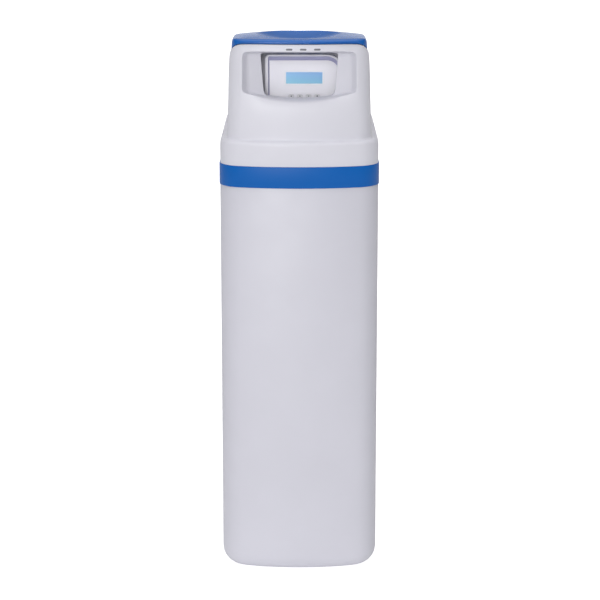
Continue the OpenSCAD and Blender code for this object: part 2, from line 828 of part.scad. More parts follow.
piston_y = barrel_y + 3;
piston_l = stack_l - stroke - 4;

module piston() {
    color([0.45, 0.32, 0.20])
        difference() {
            rod_y(vessel_x, piston_y, piston_z, piston_r, piston_l);
            rod_y(vessel_x, piston_y - 1, piston_z, 5 + fit, piston_l - 5);
            for (y = [10, 34])
                difference() {
                    rod_y(vessel_x, piston_y + y, piston_z, piston_r + 1, 12);
                    rod_y(vessel_x, piston_y + y - 1, piston_z, piston_r - 4.5, 14);
                }
        }
}

cap_bolts = [for (a = [12 : 60 : 312])
    [vessel_x + (barrel_r - 2) * cos(a), piston_z + (barrel_r - 2) * sin(a)]];

module end_cap() {
    color([0.18, 0.19, 0.20]) {
        difference() {
            rod_y(vessel_x, cap_y, piston_z, barrel_r + 5, cap_t);
            rod_y(vessel_x, cap_y - 1, piston_z, 5.6, cap_t + 2);
            rod_y(vessel_x, cap_y - 1, piston_z, 20, 4);
        }
        for (p = cap_bolts)
            rod_y(p[0], cap_y - 3, p[1], 3, 3);
    }
}

module drive_bracket() {
    color([0.85, 0.85, 0.83])
        difference() {
            union() {
                intersection() {
                    translate([vessel_x - head_w / 2 + 8, bracket_y, head_z + 8])
                        cube([head_w - 16, bracket_t, head_h - 20]);
                    front_plate(vessel_x, bracket_y, head_z + head_h / 2, bracket_t)
                        head_outline(8);
                }
                for (a = [162, 222, 282, 342])
                    rod_y(vessel_x + 34 * cos(a), bracket_y + bracket_t, piston_z + 34 * sin(a), 4,
                        cap_y - bracket_y - bracket_t);
                rod_y(red_x, wheel_y - 0.8, red_z, post_r, bracket_y - wheel_y + 2);
            }
            rod_y(vessel_x, bracket_y - 1, piston_z, 9 + fit, bracket_t + 2);
            rod_y(mot_x, bracket_y - 1, mot_z, 4, bracket_t + 2);
            translate([vessel_x - head_w / 2 + 20, bracket_y - 1, head_top - 42])
                cube([40, bracket_t + 2, 18]);
        }
}

module drive_motor() {
    y = bracket_y + bracket_t;
    color([0.62, 0.64, 0.66])
        difference() {
            union() {
                rod_y(mot_x, y, mot_z, motor_r, 30);
                rod_y(mot_x, y + 30, mot_z, 5, 4);
            }
            rod_y(mot_x, y - 1, mot_z, 1.5 + fit, 15);
        }
}

// Gear outline with involute teeth, short enough to clear the small pinions
function roll(r, rb) = let (a = acos(min(1, rb / r))) tan(a) * 180 / PI - a;
function gear_pts(n) =
    let (rp = tooth_m * n / 2,
        rb = rp * cos(20),
        rt = rp + 0.75 * tooth_m,
        rr = rp - 1.05 * tooth_m,
        half = 90 / n - 0.09 / rp * 180 / PI,
        lo = max(rb, rr),
        rs = [for (i = [0 : 4]) lo + (rt - lo) * i / 4])
    [for (k = [0 : n - 1]) let (c = 360 * k / n) each concat(
        [rr * [cos(c - half - roll(rp, rb)), sin(c - half - roll(rp, rb))]],
        [for (r = rs) let (h = half + roll(rp, rb) - roll(r, rb)) r * [cos(c - h), sin(c - h)]],
        [for (i = [4 : -1 : 0])
            let (r = rs[i], h = half + roll(rp, rb) - roll(r, rb)) r * [cos(c + h), sin(c + h)]],
        [rr * [cos(c + half + roll(rp, rb)), sin(c + half + roll(rp, rb))]])];

module gear_y(x, y, z, n, turn, t) {
    front_plate(x, y, z, t)
        rotate(turn)
            polygon(gear_pts(n));
}

module motor_pinion() {
    color([0.78, 0.66, 0.35]) {
        gear_y(mot_x, wheel_y, mot_z, pinion_n, mesh_b + 180 + 180 / pinion_n, wheel_t);
        rod_y(mot_x, wheel_y + wheel_t, mot_z, 1.5, bracket_y + bracket_t + 12 - wheel_y - wheel_t);
    }
}

module reduction_gear() {
    color([0.90, 0.90, 0.86])
        difference() {
            union() {
                gear_y(red_x, wheel_y, red_z, wheel_n, mesh_b, wheel_t);
                rod_y(red_x, wheel_y + wheel_t, red_z, 5.2, main_y - wheel_y - wheel_t);
                gear_y(red_x, main_y, red_z, small_n, mesh_a + 180 + 180 / small_n, main_t);
            }
            rod_y(red_x, wheel_y - 2, red_z, post_r + fit, 30);
        }
}

module main_gear() {
    color([0.90, 0.90, 0.86])
        difference() {
            union() {
                gear_y(vessel_x, main_y, piston_z, main_n, mesh_a, main_t);
                rod_y(vessel_x, main_y + main_t, piston_z, 9, bracket_y + bracket_t + 6 - main_y - main_t);
            }
            rod_y(vessel_x, main_y - 1, piston_z, 5, 40);
            for (a = [0 : 60 : 300])
                rod_y(vessel_x + 19 * cos(a), main_y - 1, piston_z + 19 * sin(a), 5.5, main_t + 2);
        }
}

module lead_screw() {
    color([0.75, 0.77, 0.80])
        rod_y(vessel_x, main_y, piston_z, 5, piston_y + piston_l - 6 - main_y);
}

module circuit_board() {
    color([0.10, 0.36, 0.20])
        translate([vessel_x - head_w / 2 + 26, board_y, keypad_z - 15])
            cube([head_w - 52, board_t, lcd_z - keypad_z + 35]);
    color([0.12, 0.12, 0.13]) {
        for (x = button_x)
            translate([vessel_x + x - 3, board_y - 0.8, keypad_z - 3])
                cube([6, 0.8, 6]);
        translate([vessel_x - 50, board_y + board_t, head_z + 88])
            cube([22, 1.2, 14]);
    }
}

module display_module() {
    color([0.55, 0.75, 0.95])
        translate([vessel_x - lcd_w / 2 - 1.5, face_y + cover_wall, lcd_z - lcd_h / 2 - 1.5])
            cube([lcd_w + 3, board_y - face_y - cover_wall, lcd_h + 3]);
}

module display_window() {
    color([0.70, 0.85, 1.0, 0.6])
        front_plate(vessel_x, face_y + 0.2, lcd_z, cover_wall - 0.2)
            round_rect(lcd_w, lcd_h, 1.5);
}

module display_frame() {
    color([0.93, 0.94, 0.96])
        difference() {
            front_plate(vessel_x, face_y - 1.2, lcd_z, 1.2)
                round_rect(lcd_w + 9, lcd_h + 9, 3);
            front_plate(vessel_x, face_y - 2, lcd_z, 3)
                round_rect(lcd_w, lcd_h, 1.5);
        }
}

module head_outline(d) {
    corners = [[1, 1, head_round, 0], [-1, 1, 10, 90], [-1, -1, 20, 180], [1, -1, 20, 270]];
    polygon([for (c = corners)
        each arc([c[0] * (head_w / 2 - c[2]), c[1] * (head_h / 2 - c[2])], c[2] - d, c[3], c[3] + 90, 10)]);
}

module head_cover() {
    zc = head_z + head_h / 2;
    back = cap_y + 26;
    color([0.90, 0.90, 0.93])
        difference() {
            union() {
                front_plate(vessel_x, face_y - rim_proud, zc, rim_proud + 2)
                    head_outline(1.5);
                front_plate(vessel_x, face_y + 14, zc, 6)
                    head_outline(-head_flange);
                front_plate(vessel_x, face_y, zc, back - face_y)
                    head_outline(0);
            }
            front_plate(vessel_x, face_y - rim_proud - 1, zc, rim_proud + 1)
                head_outline(panel_rim);
            front_plate(vessel_x, face_y + cover_wall, zc, 100)
                head_outline(cover_wall);
            front_plate(vessel_x, face_y - 1, lcd_z, 5)
                round_rect(lcd_w + 0.2, lcd_h + 0.2, 1.6);
            for (x = button_x)
                front_plate(vessel_x + x, face_y - 1, keypad_z, 5)
                    pill(button_w + 0.6, button_h + 0.6);
            translate([vessel_x - 48, face_y + 32, head_z - 1])
                cube([96, 100, 40]);
            rod_x(vessel_x - head_w / 2 - 1, cap_y + 12, head_z + 30, 4.6, 10);
        }
}

module keypad_strip() {
    half_w = 3 * button_step / 2 + 24;
    half_h = 10;
    r = (half_w * half_w + half_h * half_h) / (2 * half_h);
    color([0.84, 0.85, 0.89])
        difference() {
            front_plate(vessel_x, face_y - 1.2, keypad_z, 1.2)
                intersection() {
                    translate([0, half_h - r])
                        circle(r = r, $fn = 240);
                    translate([0, r - half_h])
                        circle(r = r, $fn = 240);
                }
            for (x = button_x)
                front_plate(vessel_x + x, face_y - 3, keypad_z, 5)
                    pill(button_w + 0.6, button_h + 0.6);
        }
}

module button(i) {
    x = vessel_x + button_x[i];
    color([0.95, 0.95, 0.97]) {
        front_plate(x, face_y - 2.4, keypad_z, cover_wall + 2.4)
            pill(button_w, button_h);
        front_plate(x, face_y + cover_wall + 0.1, keypad_z, 0.9)
            pill(button_w + 2.6, button_h + 3);
    }
}

module button_1() {
    button(0);
}

module button_2() {
    button(1);
}

module button_3() {
    button(2);
}

module button_4() {
    button(3);
}

module injector_cap() {
    x = vessel_x - 56;
    color([0.12, 0.12, 0.13]) {
        rod_x(x - 8, vessel_y + 10, port_z, 19, 8);
        rod_x(x - 14, vessel_y + 10, port_z, 9, 7);
        rod_x(x - 1, vessel_y + 10, port_z, 11, 18);
    }
}

module brine_elbow() {
    x = vessel_x + 20 + barrel_r;
    color([0.90, 0.90, 0.88])
        difference() {
            union() {
                rod_x(x - 10, line_y, line_z, 7, line_x - x + 10);
                rod_x(x, line_y, line_z, 11, 6);
                translate([line_x, line_y, line_z])
                    sphere(r = 7, $fn = 48);
                rod_y(line_x, line_y, line_z, 7, 12);
                rod_y(line_x, line_y + 10, line_z, 9, 12);
            }
            rod_x(x - 12, line_y, line_z, 3, line_x - x + 12);
            rod_y(line_x, line_y, line_z, 3, 30);
        }
}

drain_z = piston_z + barrel_r + 14;

module drain_elbow() {
    y = vessel_y + 30;
    z0 = piston_z + barrel_r + 8;
    color([0.90, 0.90, 0.88])
        difference() {
            union() {
                rod_z(vessel_x, y, z0 - 10, 7.5, drain_z - z0 + 10);
                rod_z(vessel_x, y, z0, 11, 4);
                translate([vessel_x, y, drain_z])
                    sphere(r = 7.5, $fn = 48);
                rod_y(vessel_x, y, drain_z, 6.4, 46);
                for (b = [24, 31, 38])
                    rod_y(vessel_x, y + b, drain_z, 7.4, 6, 6.4);
            }
            rod_z(vessel_x, y, z0 - 12, 4, drain_z - z0 + 12);
            rod_y(vessel_x, y, drain_z, 4, 50);
        }
}

meter_x = vessel_x + port_step / 2;

module flow_turbine() {
    color([0.20, 0.35, 0.60])
        difference() {
            union() {
                rod_y(meter_x, port_y - 17, port_z, 4, 11);
                for (a = [0 : 60 : 300])
                    translate([meter_x, port_y - 11.5, port_z])
                        rotate([0, a, 0])
                            translate([0, 0, 2])
                                rotate([0, 0, 28])
                                    translate([-0.7, -4.5, 0])
                                        cube([1.4, 9, port_bore - 4]);
            }
            rod_y(meter_x, port_y - 20, port_z, 1.5 + fit, 20);
        }
}

module turbine_cage() {
    color([0.85, 0.85, 0.83]) {
        difference() {
            rod_y(meter_x, port_y - 4, port_z, port_bore - 0.1, 3.5);
            rod_y(meter_x, port_y - 5, port_z, port_bore - 2, 6);
        }
        for (a = [0, 90])
            translate([meter_x, port_y - 2.25, port_z])
                rotate([0, a, 0])
                    cube([2 * port_bore - 3, 3.5, 2], center = true);
        rod_y(meter_x, port_y - 19, port_z, 1.5, 16);
    }
}

module power_socket() {
    x = vessel_x - head_w / 2;
    color([0.10, 0.10, 0.11])
        difference() {
            union() {
                rod_x(x - 2, cap_y + 12, head_z + 30, 7, 2);
                rod_x(x - 1, cap_y + 12, head_z + 30, 4.5, cover_wall + 1);
                rod_x(x + cover_wall, cap_y + 12, head_z + 30, 7, 7);
            }
            rod_x(x - 3, cap_y + 12, head_z + 30, 2.75, 10);
        }
}

// Bypass

module bypass_body() {
    color([0.16, 0.17, 0.18])
        difference() {
            union() {
                for (s = [-1, 1])
                    translate([vessel_x + s * port_step / 2, 0, 0]) {
                        rod_y(0, bypass_y, port_z, port_r, 12);
                        rod_y(0, bypass_y + 10, port_z, 18.5, bypass_l - 10);
                        rod_y(0, bypass_y + bypass_l - 4, port_z, thread_r, thread_l + 4);
                        rod_z(0, rotor_y, port_z - 22, 23, 46);
                    }
                rod_x(vessel_x - port_step / 2, rotor_y, port_z, 15, port_step);
            }
            for (s = [-1, 1])
                translate([vessel_x + s * port_step / 2, 0, 0]) {
                    rod_y(0, bypass_y - 1, port_z, port_bore, bypass_l + thread_l + 2);
                    rod_z(0, rotor_y, port_z - 18, rotor_r + fit, 60);
                }
            rod_x(vessel_x - port_step / 2, rotor_y, port_z, 10, port_step);
        }
}

module rotor(s) {
    x = vessel_x + s * port_step / 2;
    color([0.82, 0.83, 0.85])
        difference() {
            union() {
                rod_z(x, rotor_y, port_z - 17.7, rotor_r, 36);
                rod_z(x, rotor_y, port_z + 18, 7, 24);
            }
            rod_y(x, rotor_y - 30, port_z, port_bore - 0.5, 60);
        }
}

module inlet_rotor() {
    rotor(-1);
}

module outlet_rotor() {
    rotor(1);
}

module handle(s) {
    x = vessel_x + s * port_step / 2;
    z = port_z + 29;
    color([0.75, 0.10, 0.10])
        difference() {
            union() {
                rod_z(x, rotor_y, z, 17, 12);
                translate([x, rotor_y, z])
                    linear_extrude(height = 12)
                        polygon([[-8, -26], [8, -26], [9, 10], [16, 10], [0, 28], [-16, 10], [-9, 10]]);
            }
            rod_z(x, rotor_y, z - 1, 7, 9.6);
            rod_z(x, rotor_y, z - 1, 7, 14.2);
        }
}

module inlet_handle() {
    handle(-1);
}

module outlet_handle() {
    handle(1);
}

module rotor_caps() {
    color([0.12, 0.12, 0.13])
        for (s = [-1, 1])
            difference() {
                rod_z(vessel_x + s * port_step / 2, rotor_y, port_z + 24, 24, 4);
                rod_z(vessel_x + s * port_step / 2, rotor_y, port_z + 20, 7 + gap, 12);
            }
}

module port_nuts() {
    color([0.12, 0.12, 0.13])
        for (s = [-1, 1])
            difference() {
                rod_y(vessel_x + s * port_step / 2, port_y - 12, port_z, 25, 22);
                rod_y(vessel_x + s * port_step / 2, port_y - 13, port_z, port_r + 0.02, 24);
                for (a = [0 : 30 : 330])
                    rod_y(vessel_x + s * port_step / 2 + 26 * cos(a), port_y - 13, port_z + 26 * sin(a), 3, 24);
            }
}

module cover_screws() {
    color([0.70, 0.71, 0.73])
        for (s = [-1, 1])
            for (z = [head_z + 24, head_top - head_round - 6])
                rod_x(s < 0 ? vessel_x - head_w / 2 - 2 : vessel_x + head_w / 2, bracket_y + 2, z, 3.5, 2);
}

brine_tank();
trim_ring();
hood_shell();
salt_lid();
hinge_pins();
salt_grid();
brine_well();
well_cap();
safety_valve();
float_rod();
float_bulb();
draw_tube();
brine_line();
overflow_elbow();
overflow_gasket();
overflow_nut();
resin_vessel();
vessel_boot();
resin_bed();
riser_tube();
lower_basket();
upper_basket();
valve_body();
neck_seal();
seal_stack();
stack_seals();
piston();
end_cap();
drive_bracket();
drive_motor();
motor_pinion();
reduction_gear();
main_gear();
lead_screw();
circuit_board();
display_module();
display_window();
display_frame();
head_cover();
keypad_strip();
button_1();
button_2();
button_3();
button_4();
injector_cap();
brine_elbow();
drain_elbow();
flow_turbine();
turbine_cage();
power_socket();
bypass_body();
inlet_rotor();
outlet_rotor();
inlet_handle();
outlet_handle();
rotor_caps();
port_nuts();
cover_screws();
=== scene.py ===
"""Dresses the cabinet water softener: moulded shells, display head, materials, stage and camera."""

import json
import math

import bmesh
import bpy
from bpy.props import FloatProperty, FloatVectorProperty, IntProperty, PointerProperty
from bpy.types import Operator, Panel, PropertyGroup
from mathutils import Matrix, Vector


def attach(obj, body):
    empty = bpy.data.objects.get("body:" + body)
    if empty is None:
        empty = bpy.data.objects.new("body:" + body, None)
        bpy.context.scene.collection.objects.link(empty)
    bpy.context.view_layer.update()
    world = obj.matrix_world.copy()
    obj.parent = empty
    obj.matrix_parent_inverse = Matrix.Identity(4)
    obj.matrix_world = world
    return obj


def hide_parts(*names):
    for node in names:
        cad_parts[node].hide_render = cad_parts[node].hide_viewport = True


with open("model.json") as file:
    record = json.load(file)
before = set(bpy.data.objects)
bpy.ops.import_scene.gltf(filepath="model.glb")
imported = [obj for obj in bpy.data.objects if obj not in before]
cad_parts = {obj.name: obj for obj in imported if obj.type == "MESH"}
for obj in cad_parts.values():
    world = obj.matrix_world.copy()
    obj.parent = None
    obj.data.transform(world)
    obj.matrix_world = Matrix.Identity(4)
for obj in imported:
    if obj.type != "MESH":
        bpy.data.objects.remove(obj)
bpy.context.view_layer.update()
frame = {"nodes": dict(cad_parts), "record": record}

bl_info = {
    "name": "Cabinet Water Softener",
    "version": (1, 0, 0),
    "blender": (4, 5, 0),
    "location": "View3D > Sidebar > Softener",
    "description": "Models and finishes a cabinet water softener around its construction frame",
    "category": "Mesh",
}

# Two places closer than this count as one
TINY = 0.0002
# How far a row of vertices may stray from its height
STRAY = 0.0009
# Where the cabinet's outline is cut across, for the bow and the slopes
COLUMNS = (0.024, 0.048, 0.072, 0.096)
BANDS = (-0.150, -0.095, -0.030, 0.040, 0.110, 0.170)


def length(label, text, default):
    """A size in metres that a user may change."""
    return FloatProperty(name=label, description=text, default=default, unit="LENGTH")


def number(label, text, default):
    """A plain number that a user may change."""
    return FloatProperty(name=label, description=text, default=default)


def angle(label, text, degrees):
    """An angle that a user may change."""
    return FloatProperty(name=label, description=text, default=math.radians(degrees), subtype="ANGLE")


def point(label, text, default):
    """A place that a user may change."""
    return FloatVectorProperty(name=label, description=text, default=default, subtype="TRANSLATION")


def colour(label, text, default):
    """A finish colour that a user may change."""
    return FloatVectorProperty(name=label, description=text, default=default, subtype="COLOR", min=0, max=1)


class CabinetSizes(PropertyGroup):
    """Outline shared by the tank, the trim ring, the hood and the lid."""

    width: length("Width", "Side to side", 0.322)
    depth: length("Depth", "Front to back", 0.500)
    front_radius: length("Front corners", "Radius of the front corners, seen from above", 0.055)
    rear_radius: length("Rear corners", "Radius of the rear corners, seen from above", 0.048)
    bow_radius: length("Bow", "Radius of the bowed front, seen from above", 0.480)
    base_radius: length("Base edge", "Radius of the rounded bottom edge", 0.038)
    tank_top: length("Tank top", "Height of the shoulder under the trim ring", 0.814)
    tank_rim: length("Tank rim", "Height of the rim inside the trim ring", 0.838)
    tank_wall: length("Tank wall", "Thickness of the tank wall", 0.004)
    ring_top: length("Ring top", "Height of the upper edge of the trim ring", 0.857)
    ring_proud: length("Ring step", "How far the trim ring stands proud", 0.0015)
    ring_wall: length("Ring wall", "Thickness of the trim ring", 0.0035)
    ring_play: length("Ring play", "Play between the tank's rim and the trim ring", 0.0005)
    seat_height: length("Seat height", "Height of the seat inside the trim ring", 0.0035)
    seat_reach: length("Seat reach", "How far the seat reaches inwards", 0.0065)
    overflow_side: length("Overflow side", "Sideways place of the overflow hole in the rear wall", -0.095)
    overflow_up: length("Overflow height", "Height of the overflow hole", 0.735)
    overflow_hole: length("Overflow hole", "Radius of the overflow hole", 0.0115)
    corner_steps: IntProperty(name="Corner steps", description="Facets in each rounded corner", default=7,
                              min=3)


class HoodSizes(PropertyGroup):
    """The white hood with its scooped display window."""

    ledge_top: length("Ledge", "Height of the ledge above the skirt", 0.907)
    ledge_inset: length("Ledge width", "How far the upper wall stands in from the skirt", 0.015)
    rim: length("Side rim", "Height of the side rims", 1.084)
    rim_inset: length("Rim inset", "How far the rim lies inside the skirt", 0.0245)
    rail_rise: length("Rail rise", "Rise of the front rail above the side rims", 0.015)
    rail_start: length("Rail start", "Distance from the front where the rim starts to rise", 0.075)
    rail_run: length("Rail run", "Length over which the rim rises", 0.040)
    fall_start: length("Fall start", "Distance from the front where the rim starts to fall", 0.100)
    rear_fall: length("Rear fall", "Fall of the rim and the lid towards the rear", 0.050)
    wall: length("Wall", "Thickness of the hood", 0.0035)
    opening_plane: length("Opening", "Place of the opening behind the scoop", -0.190)
    opening_half: length("Half width", "Half width of the opening at its top", 0.079)
    opening_taper: length("Taper", "How much the opening narrows to its sill on each side", 0.008)
    opening_top: length("Opening top", "Height of the top of the opening", 1.080)
    sill: length("Sill", "Height of the middle of the sill", 0.987)
    sill_roll: length("Sill roll", "How far the front leans back towards the sill", 0.008)
    sill_sag: length("Sill sag", "Sag of the sill at its middle", 0.009)
    rail_cut: length("Rail edge", "How far the rail's lower edge lies above the opening", 0.0053)
    scoop_half: length("Scoop", "Half width of the scoop at the front", 0.1152)
    scoop_step: length("Scoop step", "Width of the steep outer part of the scoop's sides", 0.010)
    scoop_share: number("Scoop share", "Share of the scoop's depth in its steep part", 0.62)
    bead: length("Bead", "Width of the flat bead round the opening", 0.0028)
    pad_level: length("Pad level", "Height of the pads above the rail's lower edge", 0.0042)
    pad_step: length("Pad step", "Distance between the pads on the front rail", 0.0279)
    pad_middle: length("Pad place", "Sideways place of the middle pad", 0.0078)
    pad_width: length("Pad width", "Width of each pad", 0.0130)
    pad_height: length("Pad height", "Height of each pad", 0.0038)
    flange: length("Flange", "Depth of the flange behind the opening", 0.020)
    pin_hole: length("Pin hole", "Radius of the pin holes in the hood's knuckles", 0.0025)
    notch_half: length("Notch", "Half width of the service notch in the rear wall", 0.072)
    notch_top: length("Notch top", "Height of the top of the service notch", 0.994)
    notch_corner: length("Notch corners", "Radius of the upper corners of the service notch", 0.008)


class LidSizes(PropertyGroup):
    """The blue salt lid with its round dish."""

    edge: length("Edge", "Height of the upper edge of the lid", 1.1085)
    crown: length("Crown", "Rise of the middle above the edge", 0.007)
    wall: length("Wall", "Thickness of the lid", 0.003)
    dish_depth: length("Dish", "Depth of the round dish", 0.017)
    dish_sphere: length("Dish sphere", "Radius of the sphere that shapes the dish", 0.260)
    gap: length("Gap", "Shut line between the lid and the hood", 0.0013)
    dish_place: length("Dish place", "Place of the middle of the dish along the depth", -0.118)
    hinge_half: length("Hinges", "Distance of the hinges from the middle", 0.082)
    hinge_place: length("Hinge line", "Place of the hinge line along the depth", 0.2335)
    hinge_height: length("Hinge height", "Height of the hinge line", 1.034)
    knuckle: length("Knuckle", "Radius of the hinge knuckles", 0.006)
    pin_hole: length("Pin hole", "Radius of the pin holes in the lid's knuckles", 0.00255)


class HeadSizes(PropertyGroup):
    """The control head behind the display window."""

    middle: length("Middle", "Sideways place of the head", 0.010)
    half_width: length("Half width", "Half width of the head cover", 0.080)
    low: length("Foot", "Height of the lower edge of the cover", 0.933)
    high: length("Top", "Height of the top of the cover", 1.073)
    face: length("Face", "Place of the front face", -0.152)
    back: length("Back", "Place of the rear edge of the cover", -0.088)
    left_corner: length("Left corner", "Radius of the upper left corner of the cover", 0.010)
    right_corner: length("Right corner", "Radius of the upper right corner of the cover", 0.034)
    foot_corner: length("Lower corners", "Radius of the lower corners of the cover", 0.020)
    rim: length("Rim", "Width of the rim round the panel", 0.007)
    rim_proud: length("Rim height", "How far the rim stands proud of the panel", 0.005)
    rim_round: length("Rim edge", "Radius of the rim's outer edge", 0.0016)
    flange: length("Flange", "Reach of the flange round the cover", 0.009)
    flange_back: length("Flange place", "How far the flange lies behind the face", 0.014)
    flange_wall: length("Flange wall", "Thickness of the flange", 0.006)
    groove: length("Groove", "Width of the groove between the rim and the panel", 0.0025)
    groove_depth: length("Groove depth", "Depth of the groove between the rim and the panel", 0.004)
    groove_drop: length("Groove top", "Extra width of the groove along the top", 0.006)
    rim_thin: length("Rim top", "How much thinner the rim is along the top", 0.003)
    wall: length("Wall", "Thickness of the cover", 0.0025)
    lcd_width: length("Display width", "Width of the display", 0.074)
    lcd_height: length("Display height", "Height of the display", 0.0235)
    lcd_level: length("Display level", "Height of the middle of the display", 1.025)
    keypad_level: length("Keypad level", "Height of the row of buttons", 0.988)
    button_step: length("Button step", "Distance between neighbouring buttons", 0.0176)
    button_width: length("Button width", "Width of each button", 0.012)
    button_height: length("Button height", "Height of each button", 0.0064)
    button_play: length("Button play", "Play round each button in its opening", 0.0006)
    button_proud: length("Button rise", "How far each button stands proud of the face", 0.0024)
    neck_half: length("Neck opening", "Half width of the opening for the valve's neck", 0.048)
    neck_top: length("Neck height", "Height of the opening for the valve's neck", 0.039)
    socket_place: length("Socket place", "Place of the power socket along the depth", -0.102)
    socket_up: length("Socket height", "Height of the power socket above the foot", 0.030)
    socket_hole: length("Socket hole", "Radius of the hole for the power socket", 0.0046)


class LineSizes(PropertyGroup):
    """The brine line between the valve and the brine well."""

    radius: length("Radius", "Outer radius of the line", 0.00475)
    elbow: point("Elbow", "Where the line leaves the valve", (0.084, -0.0376, 0.953))
    well: point("Well", "Where the line enters the safety valve", (0.105, 0.190, 0.8754))


class FinishColours(PropertyGroup):
    """Base colours of the finishes."""

    white: colour("White shell", "Moulded white of the tank", (0.628, 0.623, 0.69))
    # Painted light: the hood's white is lighter than the tank's, standing in for the brighter light on the
    # upper part
    hood: colour("White hood", "Moulded white of the hood", (0.705, 0.70, 0.765))
    blue: colour("Blue trim", "Moulded blue of the ring", (0.004, 0.118, 0.45))
    lid: colour("Blue lid", "Moulded blue of the lid", (0.003, 0.112, 0.44))
    # Painted light: far paler than the shells' white, to brighten the head's face in the shade of the display
    # window
    head: colour("Head", "Moulded white of the control head", (0.93, 0.92, 0.98))
    lit: colour("Display", "Lit blue of the display", (0.55, 0.73, 0.84))


class StageSizes(PropertyGroup):
    """Camera and light."""

    camera_back: length("Camera distance", "How far the camera stands in front of the middle", 4.25)
    camera_up: length("Camera height", "Height of the camera", 1.494)
    camera_side: length("Camera side", "Sideways place of the camera", 0.0014)
    camera_dip: angle("Camera dip", "How far the camera looks down", 12.8)
    camera_lens: number("Lens", "Focal length in millimetres", 121.3)
    camera_sensor: number("Sensor", "Width of the camera's sensor in millimetres", 36.0)
    sun_power: number("Front light", "Strength of the soft light in front", 1.44)
    sun_angle: angle("Softness", "Angular size of the front light", 30)
    surround: number("Surround", "Strength of the white surround", 0.19)
    overhead: number("Overhead", "Extra strength of the surround straight above", 2.1)
    backdrop: number("Backdrop", "Extra strength of the surround behind the object", 0.68)
    light_left: length("Light left", "How far the front light stands to the left", 0.80)
    light_back: length("Light distance", "How far the front light stands in front", 4.0)
    light_up: length("Light height", "Height of the front light", 1.1)
    floor_size: length("Floor", "Side of the floor", 80.0)
    floor_glow: number("Floor glow", "Glow of the floor as the camera sees it", 0.9)
    floor_bounce: number("Floor bounce", "Glow of the floor onto the object", 0.16)
    floor_pool: number("Floor pool", "Extra glow of the floor close to the object", 0.2)


GROUPS = {
    "softener_cabinet": CabinetSizes,
    "softener_hood": HoodSizes,
    "softener_lid": LidSizes,
    "softener_head": HeadSizes,
    "softener_line": LineSizes,
    "softener_colours": FinishColours,
    "softener_stage": StageSizes,
}


# Modelling steps

def clear_selection():
    """Leaves edit mode and deselects every object."""
    if bpy.context.object and bpy.context.object.mode != "OBJECT":
        bpy.ops.object.mode_set(mode="OBJECT")
    bpy.ops.object.select_all(action="DESELECT")


def name_new(name):
    """Names the primitive that was just added and opens it in edit mode."""
    piece = bpy.context.object
    piece.name = name
    piece.data.name = name
    bpy.ops.object.mode_set(mode="EDIT")
    return piece


def start_cube(name, low, high):
    """Adds a cube between two corners and opens it in edit mode."""
    clear_selection()
    bpy.ops.mesh.primitive_cube_add(size=1.0, location=(0, 0, 0))
    piece = name_new(name)
    bpy.ops.transform.resize(value=[b - a for a, b in zip(low, high)])
    bpy.ops.transform.translate(value=[(a + b) / 2 for a, b in zip(low, high)])
    return piece


def start_rod(name, middle, radius, span, axis="z", sides=48):
    """Adds a cylinder along an axis and opens it in edit mode."""
    clear_selection()
    turn = {"x": (0, math.pi / 2, 0), "y": (math.pi / 2, 0, 0), "z": (0, 0, 0)}[axis]
    bpy.ops.mesh.primitive_cylinder_add(vertices=sides, radius=radius, depth=span, location=middle,
                                        rotation=turn)
    bpy.ops.object.transform_apply(location=True, rotation=True, scale=True)
    return name_new(name)


def start_ball(name, middle, radius, segments, rings):
    """Adds a sphere and opens it in edit mode."""
    clear_selection()
    bpy.ops.mesh.primitive_uv_sphere_add(segments=segments, ring_count=rings, radius=radius, location=middle)
    bpy.ops.object.transform_apply(location=True, rotation=True, scale=True)
    return name_new(name)


def pick(kind, test):
    """Selects what passes the test: a vertex's place, an edge's ends, or a face's middle and normal."""
    bpy.ops.mesh.select_mode(type=kind)
    bpy.ops.mesh.select_all(action="DESELECT")
    mesh = bmesh.from_edit_mesh(bpy.context.object.data)
    if kind == "VERT":
        chosen = [v for v in mesh.verts if test(v.co)]
    elif kind == "EDGE":
        chosen = [e for e in mesh.edges if test(e.verts[0].co, e.verts[1].co)]
    else:
        chosen = [f for f in mesh.faces if test(f.calc_center_median(), f.normal)]
    for item in chosen:
        item.select_set(True)
    mesh.select_flush_mode()
    bmesh.update_edit_mesh(bpy.context.object.data)
    return len(chosen)


def shift(test, amount):
    """Moves each vertex that passes the test by an amount worked out from its place."""
    mesh = bmesh.from_edit_mesh(bpy.context.object.data)
    moves = {}
    for vertex in mesh.verts:
        if test(vertex.co):
            move = tuple(round(part, 6) for part in amount(vertex.co))
            if any(move):
                moves.setdefault(move, []).append(vertex.index)
    for move, chosen in moves.items():
        bpy.ops.mesh.select_mode(type="VERT")
        bpy.ops.mesh.select_all(action="DESELECT")
        mesh = bmesh.from_edit_mesh(bpy.context.object.data)
        mesh.verts.ensure_lookup_table()
        for index in chosen:
            mesh.verts[index].select_set(True)
        mesh.select_flush_mode()
        bpy.ops.transform.translate(value=move)


def cut_across(place, normal):
    """Cuts the open piece all round along a plane."""
    bpy.ops.mesh.select_all(action="SELECT")
    bpy.ops.mesh.bisect(plane_co=place, plane_no=normal)


def extrude(move):
    """Extrudes the selection along a move."""
    bpy.ops.mesh.extrude_region_move(TRANSFORM_OT_translate={"value": move})


def loft(rows):
    """Extrudes the selected rim through rows of inset and height, from the rim's own row."""
    for (inset, height), (next_inset, next_height) in zip(rows, rows[1:]):
        upward = next_height - height
        extrude((0, 0, upward if abs(upward) > TINY else TINY))
        bpy.ops.transform.shrink_fatten(value=inset - next_inset, use_even_offset=True)


def round_edges(width, steps):
    """Rounds the selected edges."""
    bpy.ops.mesh.bevel(offset_type="OFFSET", offset=width, segments=steps, profile=0.5, affect="EDGES")


